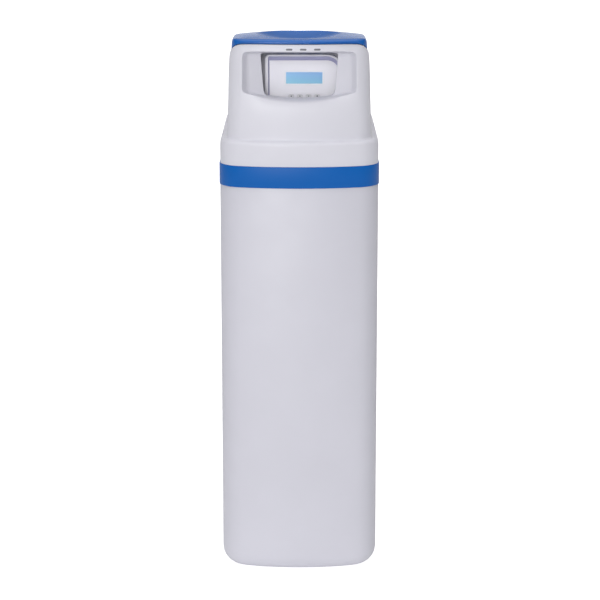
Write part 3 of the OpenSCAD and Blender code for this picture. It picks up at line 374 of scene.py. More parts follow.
def close_up(piece):
    """Merges doubles, points the faces outwards and leaves edit mode."""
    bpy.ops.mesh.select_all(action="SELECT")
    bpy.ops.mesh.remove_doubles(threshold=0.00001)
    bpy.ops.mesh.normals_make_consistent(inside=False)
    bpy.ops.object.mode_set(mode="OBJECT")
    make_active(piece)


def make_active(piece):
    """Selects one object alone."""
    clear_selection()
    piece.select_set(True)
    bpy.context.view_layer.objects.active = piece


def modify(piece, kind, **settings):
    """Adds a modifier, sets it and applies it."""
    make_active(piece)
    bpy.ops.object.modifier_add(type=kind)
    modifier = piece.modifiers[-1]
    for key, value in settings.items():
        setattr(modifier, key, value)
    bpy.ops.object.modifier_apply(modifier=modifier.name)


def subdivide_smooth(piece, levels):
    """Applies a subdivision surface."""
    modify(piece, "SUBSURF", levels=levels, render_levels=levels)


def thicken(piece, wall):
    """Gives a shell its wall, inwards."""
    modify(piece, "SOLIDIFY", thickness=wall, offset=-1.0)


def soften(piece, width, steps):
    """Rounds the sharp edges of a finished shell."""
    modify(piece, "BEVEL", width=width, segments=steps, limit_method="ANGLE", angle_limit=math.radians(50))


def carve(piece, cutter, operation="DIFFERENCE"):
    """Closes up the open cutter, applies a boolean with it and removes it."""
    close_up(cutter)
    modify(piece, "BOOLEAN", operation=operation, solver="EXACT", object=cutter)
    bpy.data.objects.remove(cutter)


def join_all(piece, others):
    """Joins finished pieces into one."""
    make_active(piece)
    for other in others:
        other.select_set(True)
    bpy.ops.object.join()


def smooth(piece, angle):
    """Shades smooth up to an angle in degrees."""
    make_active(piece)
    bpy.ops.object.shade_smooth_by_angle(angle=math.radians(angle))


def dress(piece, material, body, slot, *nodes):
    """Gives a finished piece its material, its body and the nodes that it stands for."""
    piece.data.materials.clear()
    piece.data.materials.append(material)
    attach(piece, body)
    if nodes:
        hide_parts(*nodes)


# Shapes that the cabinet's pieces share

def ease(share):
    """A soft step from 0 to 1."""
    part = min(1.0, max(0.0, share))
    return part * part * (3 - 2 * part)


def rail_rise(y):
    """Rise of the front rail at a place along the depth."""
    sizes = bpy.context.scene.softener_cabinet
    hood = bpy.context.scene.softener_hood
    return hood.rail_rise * ease((-y - (sizes.depth / 2 - hood.rail_start)) / hood.rail_run)


def rear_fall(y):
    """Fall of the rim and the lid at a place along the depth."""
    sizes = bpy.context.scene.softener_cabinet
    hood = bpy.context.scene.softener_hood
    start = hood.fall_start - sizes.depth / 2
    reach = sizes.depth / 2 - hood.rim_inset - start
    return -hood.rear_fall * (max(0.0, y - start) / reach) ** 2


def front_line(inset, x):
    """Place of the bowed front at an inset and a sideways place."""
    sizes = bpy.context.scene.softener_cabinet
    return sizes.bow_radius - sizes.depth / 2 - math.sqrt((sizes.bow_radius - inset) ** 2 - x * x)


def cabinet_block(name, inset, low, high):
    """Adds an open band with the cabinet's outline at an inset: bowed front, round corners."""
    sizes = bpy.context.scene.softener_cabinet
    half = sizes.width / 2 - inset
    rear = sizes.depth / 2 - inset
    piece = start_cube(name, (-half, -rear, low), (half, rear, high))
    for x in [side * place for place in COLUMNS for side in (-1, 1)] + [0.0]:
        cut_across((x, 0, 0), (1, 0, 0))
    for y in BANDS:
        cut_across((0, y, 0), (0, 1, 0))
    pick("FACE", lambda middle, normal: abs(normal.z) > 0.9)
    bpy.ops.mesh.delete(type="FACE")
    shift(lambda co: co.y < TINY - rear, lambda co: (0, front_line(inset, co.x) + rear, 0))
    corner = front_line(inset, half)
    lean = math.atan((corner - front_line(inset, COLUMNS[-1])) / (half - COLUMNS[-1]))
    corners = ((math.pi / 2 + lean, sizes.front_radius, corner), (math.pi / 2, sizes.rear_radius, rear))
    for reach, radius, place in corners:
        pick("EDGE", lambda a, b: abs(abs(a.x) - half) < TINY and abs(a.y - place) < TINY
             and abs(b.y - place) < TINY and abs(a.z - b.z) > TINY)
        round_edges((radius - inset) / math.tan(reach / 2), sizes.corner_steps)
    bpy.ops.mesh.select_all(action="SELECT")
    bpy.ops.mesh.normals_make_consistent(inside=False)
    return piece


def pick_rim(height):
    """Selects the rim of the open band at a height."""
    return pick("EDGE", lambda a, b: abs(a.z - height) < TINY and abs(b.z - height) < TINY)


def knuckle(name, x, span, arm, bore):
    """A hinge knuckle with its pin hole; the arm's reach, foot and top are taken from the hinge line."""
    lid = bpy.context.scene.softener_lid
    middle = (x, lid.hinge_place, lid.hinge_height)
    barrel = start_rod(name, middle, lid.knuckle, span, "x", 32)
    close_up(barrel)
    reach, foot, top = arm
    block = start_cube("knuckle_arm", (x - span / 2, lid.hinge_place + reach, lid.hinge_height + foot),
                       (x + span / 2, lid.hinge_place, lid.hinge_height + top))
    carve(barrel, block, "UNION")
    pin_hole = start_rod("pin_hole", middle, bore, 2 * span, "x", 32)
    carve(barrel, pin_hole)
    return barrel


# Finishes

def node_group(name, inputs, outputs):
    """Starts a shader node group with named sockets."""
    group = bpy.data.node_groups.new(name, "ShaderNodeTree")
    for label, kind, default in inputs:
        socket = group.interface.new_socket(name=label, in_out="INPUT", socket_type=kind)
        if default is not None:
            socket.default_value = default
    for label, kind in outputs:
        group.interface.new_socket(name=label, in_out="OUTPUT", socket_type=kind)
    return group, group.nodes.new("NodeGroupInput"), group.nodes.new("NodeGroupOutput")


def feed(tree, socket, value):
    """Links a socket to a node's output, given as the node and the output's name, or sets its value."""
    if isinstance(value, tuple) and isinstance(value[0], bpy.types.Node):
        tree.links.new(value[0].outputs[value[1]], socket)
    else:
        socket.default_value = value


def add_node(tree, kind, settings=None, **sockets):
    """Adds a node with its settings and feeds its sockets by name."""
    node = tree.nodes.new(kind)
    for key, value in (settings or {}).items():
        setattr(node, key, value)
    for label, value in sockets.items():
        feed(tree, node.inputs[label.replace("_", " ")], value)
    return node


def calculate(tree, operation, *values):
    """A maths node that takes its values in order."""
    node = add_node(tree, "ShaderNodeMath", {"operation": operation})
    for socket, value in zip(node.inputs, values):
        feed(tree, socket, value)
    return node


def noise(tree, place, scale, detail, roughness=0.5):
    """A noise over the surface."""
    return add_node(tree, "ShaderNodeTexNoise", Vector=place, Scale=scale, Detail=detail, Roughness=roughness)


def remap(tree, value, low=0.0, high=1.0, to_low=0.0, to_high=1.0):
    """Maps a value from one range to another."""
    return add_node(tree, "ShaderNodeMapRange", Value=value, From_Min=low, From_Max=high, To_Min=to_low,
                    To_Max=to_high)


def mix_colour(tree, factor, first, second, blend="MIX"):
    """A mix of two colours."""
    node = add_node(tree, "ShaderNodeMix", {"data_type": "RGBA", "blend_type": blend})
    for index, value in ((0, factor), (6, first), (7, second)):
        feed(tree, node.inputs[index], value)
    return node


def surface_group(name, pattern):
    """A shader node group whose pattern gives a colour, a roughness and a height."""
    known = bpy.data.node_groups.get(name)
    if known:
        return known
    group, enter, leave = node_group(
        name,
        [("Vector", "NodeSocketVector", None), ("Colour", "NodeSocketColor", (0.8, 0.8, 0.8, 1)),
         ("Shade", "NodeSocketColor", (0.7, 0.7, 0.7, 1)), ("Grain", "NodeSocketFloat", 900.0),
         ("Smooth", "NodeSocketFloat", 0.3), ("Rough", "NodeSocketFloat", 0.45)],
        [("Colour", "NodeSocketColor"), ("Roughness", "NodeSocketFloat"), ("Height", "NodeSocketFloat")])
    tint, gloss, height = pattern(group, enter)
    group.links.new(tint.outputs[2], leave.inputs["Colour"])
    group.links.new(gloss.outputs["Result"], leave.inputs["Roughness"])
    group.links.new(height, leave.inputs["Height"])
    return group


def gloss_range(group, enter, value):
    """A roughness between the group's two limits."""
    return remap(group, value, 0.3, 0.7, (enter, "Smooth"), (enter, "Rough"))


def moulded_skin(group, enter):
    """Moulded plastic: soft mottling, a fine grain and a roughness that wanders."""
    clouds = noise(group, (enter, "Vector"), 7.0, 4.0, 0.55)
    spread = remap(group, (clouds, "Fac"), 0.35, 0.68)
    tint = mix_colour(group, (spread, "Result"), (enter, "Colour"), (enter, "Shade"))
    grain = noise(group, (enter, "Vector"), (enter, "Grain"), 2.0)
    wander = noise(group, (enter, "Vector"), 38.0, 3.0)
    return tint, gloss_range(group, enter, (wander, "Fac")), grain.outputs["Fac"]


def drawn_metal(group, enter):
    """Turned or drawn metal: fine streaks."""
    stretched = add_node(group, "ShaderNodeMapping", Vector=(enter, "Vector"), Scale=(1.0, 0.05, 1.0))
    streaks = noise(group, (stretched, "Vector"), (enter, "Grain"), 3.0)
    tint = mix_colour(group, (streaks, "Fac"), (enter, "Colour"), (enter, "Shade"))
    return tint, gloss_range(group, enter, (streaks, "Fac")), streaks.outputs["Fac"]


def wound_fibre(group, enter):
    """Glass fibre wound round the vessel in crossing bands under a coat of resin."""
    centred = add_node(group, "ShaderNodeMapping", Vector=(enter, "Vector"), Location=(-0.010, 0.070, 0.0))
    axes = add_node(group, "ShaderNodeSeparateXYZ", Vector=(centred, "Vector"))
    round_vessel = calculate(group, "ARCTAN2", (axes, "Y"), (axes, "X"))
    bands = []
    for turns, climb in ((26.0, 150.0), (26.0, -150.0), (9.0, 1400.0)):
        rise = calculate(group, "MULTIPLY", (axes, "Z"), climb)
        phase = calculate(group, "MULTIPLY_ADD", (round_vessel, "Value"), turns, (rise, "Value"))
        bands.append(calculate(group, "SINE", (phase, "Value")))
    crossed = calculate(group, "MAXIMUM", (bands[0], "Value"), (bands[1], "Value"))
    strands = calculate(group, "MULTIPLY_ADD", (bands[2], "Value"), 0.3, (crossed, "Value"))
    share = remap(group, (strands, "Value"), -1.0, 1.3)
    wander = noise(group, (enter, "Vector"), 22.0, 3.0)
    tint = mix_colour(group, (share, "Result"), (enter, "Shade"), (enter, "Colour"))
    return tint, gloss_range(group, enter, (wander, "Fac")), share.outputs["Result"]


def packed_beads(group, enter):
    """A bed of small round beads, each of its own shade."""
    beads = add_node(group, "ShaderNodeTexVoronoi", Vector=(enter, "Vector"), Scale=(enter, "Grain"))
    own = add_node(group, "ShaderNodeSeparateColor", Color=(beads, "Color"))
    tint = mix_colour(group, (own, "Red"), (enter, "Colour"), (enter, "Shade"))
    domes = remap(group, (beads, "Distance"), 0.0, 0.7, 1.0, 0.0)
    return tint, gloss_range(group, enter, (own, "Green")), domes.outputs["Result"]


def board_tracks(group, enter):
    """A coated circuit board with its raised tracks."""
    upright = add_node(group, "ShaderNodeMapping", Vector=(enter, "Vector"), Rotation=(math.pi / 2, 0.0, 0.0))
    tracks = add_node(group, "ShaderNodeTexBrick", {"offset": 0.37, "squash": 0.6, "squash_frequency": 3},
                      Vector=(upright, "Vector"), Scale=(enter, "Grain"), Mortar_Size=0.06, Brick_Width=0.9,
                      Row_Height=0.22)
    wander = noise(group, (enter, "Vector"), 60.0, 3.0)
    tint = mix_colour(group, (tracks, "Fac"), (enter, "Colour"), (enter, "Shade"))
    return tint, gloss_range(group, enter, (wander, "Fac")), tracks.outputs["Fac"]


def start_material(name):
    """A new node material with its Principled shader and Object coordinates."""
    material = bpy.data.materials.new(name)
    material.use_nodes = True
    tree = material.node_tree
    return material, tree, tree.nodes["Principled BSDF"], tree.nodes.new("ShaderNodeTexCoord")


def bump(tree, shader, height, strength, distance):
    """Links a height to the shader's normal."""
    node = add_node(tree, "ShaderNodeBump", Strength=strength, Distance=distance)
    tree.links.new(height, node.inputs["Height"])
    tree.links.new(node.outputs["Normal"], shader.inputs["Normal"])


def moulded(name, base, shade=0.93, grain=900.0, gloss=(0.3, 0.45), depth=0.00005, shine=0.5,
            pattern=moulded_skin, metal=0.0):
    """A finish from one of the patterns, moulded plastic where none is named.

    The shade darkens the base colour in places, the grain is the pattern's scale, the gloss holds the
    lowest and the highest roughness, and the depth is the height of the bump in metres.
    """
    name = "finish_" + name
    known = bpy.data.materials.get(name)
    if known:
        return known
    material, tree, shader, place = start_material(name)
    darker = [part * shade for part in base]
    skin = add_node(tree, "ShaderNodeGroup", {"node_tree": surface_group(pattern.__name__, pattern)},
                    Vector=(place, "Object"), Colour=(*base, 1), Shade=(*darker, 1), Grain=grain,
                    Smooth=gloss[0], Rough=gloss[1])
    tree.links.new(skin.outputs["Colour"], shader.inputs["Base Color"])
    tree.links.new(skin.outputs["Roughness"], shader.inputs["Roughness"])
    shader.inputs["Specular IOR Level"].default_value = shine
    shader.inputs["Metallic"].default_value = metal
    bump(tree, shader, skin.outputs["Height"], 0.25, depth)
    return material


# Settings that several finishes share
SATIN = {"shade": 0.97, "grain": 700.0, "gloss": (0.34, 0.46), "depth": 0.00006, "shine": 0.4}
TURNED = {"shade": 0.85, "grain": 1500.0, "gloss": (0.22, 0.38), "depth": 0.00002, "pattern": drawn_metal,
          "metal": 1.0}
# The finishes by name: a base colour, or which of the colours that a user may change, and the settings
FINISHES = {
    "white_shell": ("white", SATIN),
    # Painted light: a lighter copy of the shell's white, for the hood
    "hood_white": ("hood", SATIN),
    "blue_trim": ("blue", dict(shade=0.96, grain=700.0, gloss=(0.33, 0.4), depth=0.00006, shine=0.2)),
    "lid_blue": ("lid", dict(shade=0.96, grain=700.0, gloss=(0.20, 0.28), depth=0.00003)),
    # Painted light: the head's pale base colour brightens its face in the shade of the window
    "head_plastic": ("head", dict(shade=0.97, grain=1400.0, gloss=(0.35, 0.5), depth=0.00004)),
    # Painted shade: the darker purple-grey of the groove round the head's panel stands in for the shadow in
    # it
    "groove_grey": ((0.46, 0.46, 0.67), dict(shade=0.95, grain=1400.0, gloss=(0.45, 0.6), depth=0.00003)),
    "bezel_plastic": ((0.9, 0.9, 0.95), dict(shade=0.98, grain=1400.0, gloss=(0.35, 0.45), depth=0.00003)),
    "button_plastic": ((0.78, 0.78, 0.82), dict(shade=0.96, grain=1400.0, depth=0.00003)),
    "pad_rubber": ((0.20, 0.20, 0.23), dict(shade=0.85, grain=1200.0, gloss=(0.55, 0.7), depth=0.00004)),
    "tube_plastic": ((0.03, 0.031, 0.034), dict(shade=0.75, grain=500.0, gloss=(0.32, 0.45), depth=0.00004)),
    "mark_paint": ((0.16, 0.16, 0.20), dict(shade=0.8, grain=1600.0, gloss=(0.5, 0.6), depth=0.00002)),
    "pale_plastic": ((0.72, 0.73, 0.72), dict(shade=0.92, gloss=(0.4, 0.55))),
    "black_plastic": ((0.025, 0.026, 0.03), dict(shade=0.7, gloss=(0.38, 0.55), depth=0.0001)),
    "rubber_seal": ((0.018, 0.018, 0.018), dict(shade=0.7, grain=1200.0, gloss=(0.6, 0.75))),
    "vessel_wrap": ((0.055, 0.115, 0.19), dict(shade=0.62, grain=1.0, gloss=(0.22, 0.36), depth=0.0006,
                                               pattern=wound_fibre)),
    "resin_beads": ((0.50, 0.22, 0.05), dict(shade=0.55, gloss=(0.2, 0.35), depth=0.0005,
                                             pattern=packed_beads)),
    "steel": ((0.62, 0.63, 0.65), TURNED),
    "brass_gear": ((0.72, 0.52, 0.22), TURNED),
    "piston_plastic": ((0.35, 0.22, 0.12), dict(shade=0.85)),
    "board_green": ((0.02, 0.16, 0.06), dict(shade=1.9, grain=95.0, gloss=(0.25, 0.4), depth=0.0002,
                                             pattern=board_tracks)),
    "turbine_blue": ((0.05, 0.16, 0.45), dict(shade=0.9, gloss=(0.35, 0.5))),
    "handle_red": ((0.52, 0.02, 0.02), dict(shade=0.85)),
}


def finish(name):
    """A finish from the table, made when it is first asked for."""
    base, settings = FINISHES[name]
    if isinstance(base, str):
        base = getattr(bpy.context.scene.softener_colours, base)
    return moulded(name, base, **settings)


def lit_display(name):
    """The lit blue of the display, paler towards the left, with its fine rows."""
    material, tree, shader, place = start_material(name)
    head = bpy.context.scene.softener_head
    lit = bpy.context.scene.softener_colours.lit
    centre = add_node(tree, "ShaderNodeMapping", Vector=(place, "Object"),
                      Location=(-head.middle, 0, -head.lcd_level))
    axes = add_node(tree, "ShaderNodeSeparateXYZ", Vector=(centre, "Vector"))
    level = remap(tree, (axes, "Z"), -head.lcd_height / 2, head.lcd_height / 2)
    across = remap(tree, (axes, "X"), -head.lcd_width / 2, head.lcd_width / 2)
    low, high, right = [(lit[0] * red, lit[1] * green, lit[2] * blue, 1) for red, green, blue in
                        ((0.8, 0.95, 0.86), (0.9, 0.85, 0.95), (0.8, 0.82, 0.9))]
    up = mix_colour(tree, (level, "Result"), low, high)
    side = mix_colour(tree, (across, "Result"), (*lit, 1), right)
    glow = mix_colour(tree, 0.5, (up, 2), (side, 2))
    rows = add_node(tree, "ShaderNodeTexWave", {"bands_direction": "Z"}, Vector=(place, "Object"),
                    Scale=330.0)
    lines = mix_colour(tree, (rows, "Fac"), (0.94, 0.95, 0.97, 1), (1, 1, 1, 1))
    final = mix_colour(tree, 1.0, (glow, 2), (lines, 2), "MULTIPLY")
    tree.links.new(final.outputs[2], shader.inputs["Emission Color"])
    tree.links.new(final.outputs[2], shader.inputs["Base Color"])
    shader.inputs["Emission Strength"].default_value = 0.35
    shader.inputs["Roughness"].default_value = 0.3
    return material


def clear_glass(name):
    """The thin clear window over the display."""
    material, tree, shader, place = start_material(name)
    smear = noise(tree, (place, "Object"), 60.0, 3.0)
    gloss = remap(tree, (smear, "Fac"), to_low=0.02, to_high=0.12)
    tree.links.new(gloss.outputs["Result"], shader.inputs["Roughness"])
    shader.inputs["Base Color"].default_value = (0.93, 0.97, 1.0, 1)
    shader.inputs["Transmission Weight"].default_value = 1.0
    shader.inputs["IOR"].default_value = 1.1
    return material


# Operators

class SOFTENER_OT_stage(Operator):
    """Adds the floor, the studio light and the camera"""

    bl_idname = "softener.stage"
    bl_label = "Stage"

    def execute(self, context):
        sizes = context.scene.softener_stage
        clear_selection()
        self.lay_floor(sizes)
        self.light_world(context)
        self.hang_light(sizes)
        bpy.ops.object.camera_add(location=(sizes.camera_side, -sizes.camera_back, sizes.camera_up),
                                  rotation=(math.pi / 2 - sizes.camera_dip, 0, 0))
        camera = bpy.context.object
        camera.data.lens = sizes.camera_lens
        camera.data.sensor_width = sizes.camera_sensor
        context.scene.camera = camera
        context.scene.view_settings.view_transform = "Standard"
        return {"FINISHED"}

    def lay_floor(self, sizes):
        """A pale floor that glows softly, a little more close to the object."""
        bpy.ops.mesh.primitive_plane_add(size=sizes.floor_size)
        floor = bpy.context.object
        floor.name = "studio_floor"
        material, tree, shader, place = start_material("studio_floor")
        dust = noise(tree, (place, "Object"), 3.0, 3.0)
        tone = mix_colour(tree, (dust, "Fac"), (0.93, 0.93, 0.935, 1), (0.95, 0.95, 0.955, 1))
        paint = mix_colour(tree, (dust, "Fac"), (0.58, 0.58, 0.585, 1), (0.60, 0.60, 0.605, 1))
        tree.links.new(paint.outputs[2], shader.inputs["Base Color"])
        tree.links.new(tone.outputs[2], shader.inputs["Emission Color"])
        away = add_node(tree, "ShaderNodeVectorMath", {"operation": "LENGTH"}, Vector=(place, "Object"))
        close = sizes.floor_bounce + sizes.floor_pool
        pool = remap(tree, (away, "Value"), 0.3, 1.3, close, sizes.floor_bounce)
        rays = tree.nodes.new("ShaderNodeLightPath")
        glow = remap(tree, (rays, "Is Camera Ray"), to_low=(pool, "Result"), to_high=sizes.floor_glow)
        tree.links.new(glow.outputs["Result"], shader.inputs["Emission Strength"])
        shader.inputs["Roughness"].default_value = 0.9
        shader.inputs["Specular IOR Level"].default_value = 0.1
        floor.data.materials.append(material)

    def hang_light(self, sizes):
        """One large soft light in front, a little to the left."""
        x, y, z = -sizes.light_left, -sizes.light_back, sizes.light_up
        bpy.ops.object.light_add(type="SUN", location=(x, y, z))
        light = bpy.context.object
        light.name = "front_light"
        light.data.energy = sizes.sun_power
        light.data.angle = sizes.sun_angle
        light.rotation_euler = (math.atan2(math.hypot(x, y), z), 0, math.atan2(x, -y))

    def light_world(self, context):
        """A white surround that is darker to the left and the right and brighter above and behind."""
        sizes = context.scene.softener_stage
        world = bpy.data.worlds.new("studio")
        context.scene.world = world
        world.use_nodes = True
        tree = world.node_tree
        light = tree.nodes["Background"]
        towards = tree.nodes.new("ShaderNodeTexCoord")
        axes = add_node(tree, "ShaderNodeSeparateXYZ", Vector=(towards, "Generated"))
        aside = calculate(tree, "ABSOLUTE", (axes, "X"))
        around = remap(tree, (aside, "Value"), 0.10, 0.80, sizes.surround, sizes.surround * 0.1)
        up = calculate(tree, "MAXIMUM", (axes, "Z"), 0.0)
        above = calculate(tree, "POWER", (up, "Value"), 4.0)
        lit = calculate(tree, "MULTIPLY_ADD", (above, "Value"), sizes.overhead, (around, "Result"))
        behind = remap(tree, (axes, "Y"), 0.1, 0.8, 0.0, sizes.backdrop)
        raised = remap(tree, (axes, "Z"), 0.36, 0.16)
        total = calculate(tree, "MULTIPLY_ADD", (behind, "Result"), (raised, "Result"), (lit, "Value"))
        tree.links.new(total.outputs["Value"], light.inputs["Strength"])
        light.inputs["Color"].default_value = (1, 1, 1, 1)


class SOFTENER_OT_brine_tank(Operator):
    """Models the white brine tank: bowed front, round base edge, stepped rim"""

    bl_idname = "softener.brine_tank"
    bl_label = "Brine tank"

    def execute(self, context):
        sizes = context.scene.softener_cabinet
        base = sizes.base_radius
        piece = cabinet_block("tank_shell", 0.0, base, sizes.tank_top)
        pick_rim(base)
        turns = [math.radians(degrees) for degrees in range(0, 91, 15)]
        loft([(base * (1 - math.cos(turn)), base * (1 - math.sin(turn))) for turn in turns])
        bpy.ops.mesh.edge_face_add()
        step = sizes.ring_wall - sizes.ring_proud + sizes.ring_play
        pick_rim(sizes.tank_top)
        loft([(0.0, sizes.tank_top), (step, sizes.tank_top), (step, sizes.tank_rim - TINY)])
        close_up(piece)
        thicken(piece, sizes.tank_wall)
        soften(piece, width=0.0008, steps=2)
        mid_wall = sizes.depth / 2 - sizes.tank_wall / 2
        drill = start_rod("overflow_drill", (sizes.overflow_side, mid_wall, sizes.overflow_up),
                          sizes.overflow_hole, 5 * sizes.tank_wall, "y")
        carve(piece, drill)
        smooth(piece, 30)
        dress(piece, finish("white_shell"), "cabinet", "white_shell", "brine_tank")
        return {"FINISHED"}


class SOFTENER_OT_trim_ring(Operator):
    """Models the blue trim ring between the tank and the hood"""

    bl_idname = "softener.trim_ring"
    bl_label = "Trim ring"

    def execute(self, context):
        sizes = context.scene.softener_cabinet
        piece = cabinet_block("ring_band", -sizes.ring_proud, sizes.tank_top, sizes.ring_top)
        close_up(piece)
        thicken(piece, sizes.ring_wall)
        soften(piece, width=0.0010, steps=3)
        inside = sizes.ring_wall - sizes.ring_proud - TINY / 2
        seat = cabinet_block("ring_seat", inside, sizes.tank_rim, sizes.tank_rim + sizes.seat_height)
        close_up(seat)
        thicken(seat, sizes.seat_reach)
        soften(seat, width=0.0006, steps=2)
        join_all(piece, [seat])
        smooth(piece, 35)
        dress(piece, finish("blue_trim"), "cabinet", "blue_trim", "trim_ring")
        return {"FINISHED"}


# Rows of the hood's profile: below the sill, above the sill and below the top of the opening
SILL_ROW = 0.010
UPPER_ROW = 0.055
BROW_ROW = 0.010
# How close a point lies to the sill or the top of the opening to count as on it
NEAR = 0.002
# Half widths of the stretches of the front that roll over, are scooped out and sag
ROLL_HALF = 0.12
ROLL_RUN = 0.05
WINDOW_REACH = 0.112
SCOOP_REACH = 0.1175
SAG_HALF = 0.085
# Depths of the scoop, the bead round the opening and the turn of its flange
SCOOP_DEPTH = 0.030
BEAD_PROUD = 0.0006
FLANGE_TURN = 0.004
# Space that the service notch is cut from, along the depth and from below
NOTCH_FRONT = 0.19
NOTCH_BACK = 0.27
NOTCH_FOOT = 0.80
# Width of the hood's knuckles, their distance from the lid's, and the reach, foot and top of their arms
HOOD_KNUCKLE = 0.012
KNUCKLE_STEP = 0.014
HOOD_ARM = (-0.010, -0.006, 0.0)


class SOFTENER_OT_hood(Operator):
    """Models the white hood: skirt, ledge, scooped window, front rail, service notch and hinge knuckles"""

    bl_idname = "softener.hood"
    bl_label = "Hood"

    def execute(self, context):
        sizes = context.scene.softener_cabinet
        hood = context.scene.softener_hood
        ledge, sill, top = hood.ledge_top, hood.sill, hood.opening_top
        skirt = ledge - 0.009
        piece = cabinet_block("hood_moulding", 0.0, sizes.ring_top + TINY, skirt)
        pick_rim(skirt)
        loft([(0.0, skirt), (0.0006, ledge - 0.005), (0.0030, ledge - 0.0012), (0.0075, ledge),
              (0.0105, ledge + 0.0002), (0.0138, ledge + 0.0016), (hood.ledge_inset, ledge + 0.006),
              (0.0155, ledge + 0.026), (0.0162, sill - 0.026), (0.0168, sill - SILL_ROW), (0.0172, sill),
              (0.0177, sill + 0.024), (0.0185, sill + UPPER_ROW), (0.0198, top - BROW_ROW), (0.0210, top),
              (hood.rim_inset, hood.rim)])
        self.shape_rim(hood)
        self.roll_sill(hood)
        self.scoop_window(hood)
        close_up(piece)
        subdivide_smooth(piece, 2)
        thicken(piece, hood.wall)
        middle = context.scene.softener_head.middle
        notch = start_cube("notch_cutter", (middle - hood.notch_half, NOTCH_FRONT, NOTCH_FOOT),
                           (middle + hood.notch_half, NOTCH_BACK, hood.notch_top))
        pick("EDGE", lambda a, b: min(a.z, b.z) > hood.notch_top - TINY and abs(a.y - b.y) > TINY)
        round_edges(hood.notch_corner, 5)
        carve(piece, notch)
        half = context.scene.softener_lid.hinge_half
        places = [side * half + offset for side in (-1, 1) for offset in (-KNUCKLE_STEP, KNUCKLE_STEP)]
        join_all(piece, [knuckle("hood_knuckle", x, HOOD_KNUCKLE, HOOD_ARM, hood.pin_hole) for x in places])
        smooth(piece, 35)
        dress(piece, finish("hood_white"), "hood", "white_shell", "hood_shell")
        return {"FINISHED"}

    def shape_rim(self, hood):
        """Raises the front rail and lets the rim fall towards the rear."""
        top = hood.opening_top
        rows = ((hood.sill + UPPER_ROW, 0.25), (top - BROW_ROW, 0.8), (top, 0.95), (hood.rim, 1.0))
        for height, share in rows:
            rise = 1.0 if height == hood.rim else 0.0
            shift(lambda co: abs(co.z - height) < STRAY,
                  lambda co: (0, 0, rise * rail_rise(co.y) + share * rear_fall(co.y)))

    def roll_sill(self, hood):
        """Leans the front back towards the sill, so that its lip rolls into the window."""
        for height, lean in ((hood.sill - SILL_ROW, 0.3 * hood.sill_roll), (hood.sill, hood.sill_roll)):
            shift(lambda co: abs(co.z - height) < STRAY and co.y < hood.opening_plane - 0.010
                  and abs(co.x) < ROLL_HALF,
                  lambda co: (0, lean * ease((ROLL_HALF + 0.002 - abs(co.x)) / ROLL_RUN), 0))

    def scoop_window(self, hood):
        """Presses the display window into the front, cuts its opening and turns a flange inwards."""
        sill, top, plane = hood.sill, hood.opening_top, hood.opening_plane
        step_half = hood.scoop_half - hood.scoop_step
        bead_half = hood.opening_half + hood.bead
        self.pick_window(hood)
        bpy.ops.mesh.region_to_loop()
        self.crease_by(lambda a, b: abs(a.z - b.z) > 0.004, 0.92)
        self.crease_by(lambda a, b: min(a.z, b.z) > top - NEAR, 0.85)
        self.crease_by(lambda a, b: max(a.z, b.z) < sill + NEAR and min(abs(a.x), abs(b.x)) > 0.06, 0.5)
        self.pick_window(hood)
        self.press(0, (step_half / hood.scoop_half, 1 - hood.scoop_share, 1), plane)
        self.press(0, (bead_half / step_half, 0, 1), plane - BEAD_PROUD)
        self.press(BEAD_PROUD, (hood.opening_half / bead_half, 1, 1), plane)
        bpy.ops.mesh.delete(type="FACE")
        shift(lambda co: abs(co.y - plane) < 0.001 and abs(co.x) < hood.opening_half + 2 * hood.bead,
              lambda co: (-hood.opening_taper * co.x / hood.opening_half * (top - co.z) / (top - sill), 0, 0))
        shift(lambda co: co.y < plane + TINY and -NEAR < co.z - sill < TINY and abs(co.x) < SCOOP_REACH,
              lambda co: (0, 0, hood.sill_sag * (co.x / SAG_HALF) ** 2))
        shift(lambda co: co.y < plane - NEAR and abs(co.z - top) < NEAR and abs(co.x) < SCOOP_REACH,
              lambda co: (0, 0, hood.rail_cut * min(1.0, (plane - co.y) / SCOOP_DEPTH)))
        self.crease_opening(hood)
        extrude((0, FLANGE_TURN, 0))
        extrude((0, hood.flange - FLANGE_TURN, 0))

    def pick_window(self, hood):
        """Selects the front faces that the scooped window takes up."""
        low, high = hood.sill - TINY, hood.opening_top + TINY
        pick("FACE", lambda middle, normal: normal.y < -0.5 and abs(middle.x) < WINDOW_REACH
             and low < middle.z < high)

    def press(self, move, scale, plane):
        """Extrudes the selected faces and scales them about a place along the depth."""
        extrude((0, move, 0))
        bpy.ops.transform.resize(value=scale, center_override=(0, plane, 0))

    def crease_by(self, test, value):
        """Sharpens those of the selected edges that pass a test."""
        mesh = bmesh.from_edit_mesh(bpy.context.object.data)
        layer = mesh.edges.layers.float.get("crease_edge") or mesh.edges.layers.float.new("crease_edge")
        for edge in mesh.edges:
            if edge.select and test(edge.verts[0].co, edge.verts[1].co):
                edge[layer] = value
        bmesh.update_edit_mesh(bpy.context.object.data)

    def crease_opening(self, hood):
        """Selects and sharpens the open edge of the display window."""
        bpy.ops.mesh.select_all(action="DESELECT")
        mesh = bmesh.from_edit_mesh(bpy.context.object.data)
        for edge in mesh.edges:
            ends = [vertex.co for vertex in edge.verts]
            edge.select_set(edge.is_boundary and all(abs(co.y - hood.opening_plane) < TINY for co in ends))
        bmesh.update_edit_mesh(bpy.context.object.data)
        bpy.ops.transform.edge_crease(value=0.7)


# Where the rail's face lies inside the skirt, and how far the pads stand proud of it
RAIL_INSET = 0.0222
PAD_PROUD = 0.0003


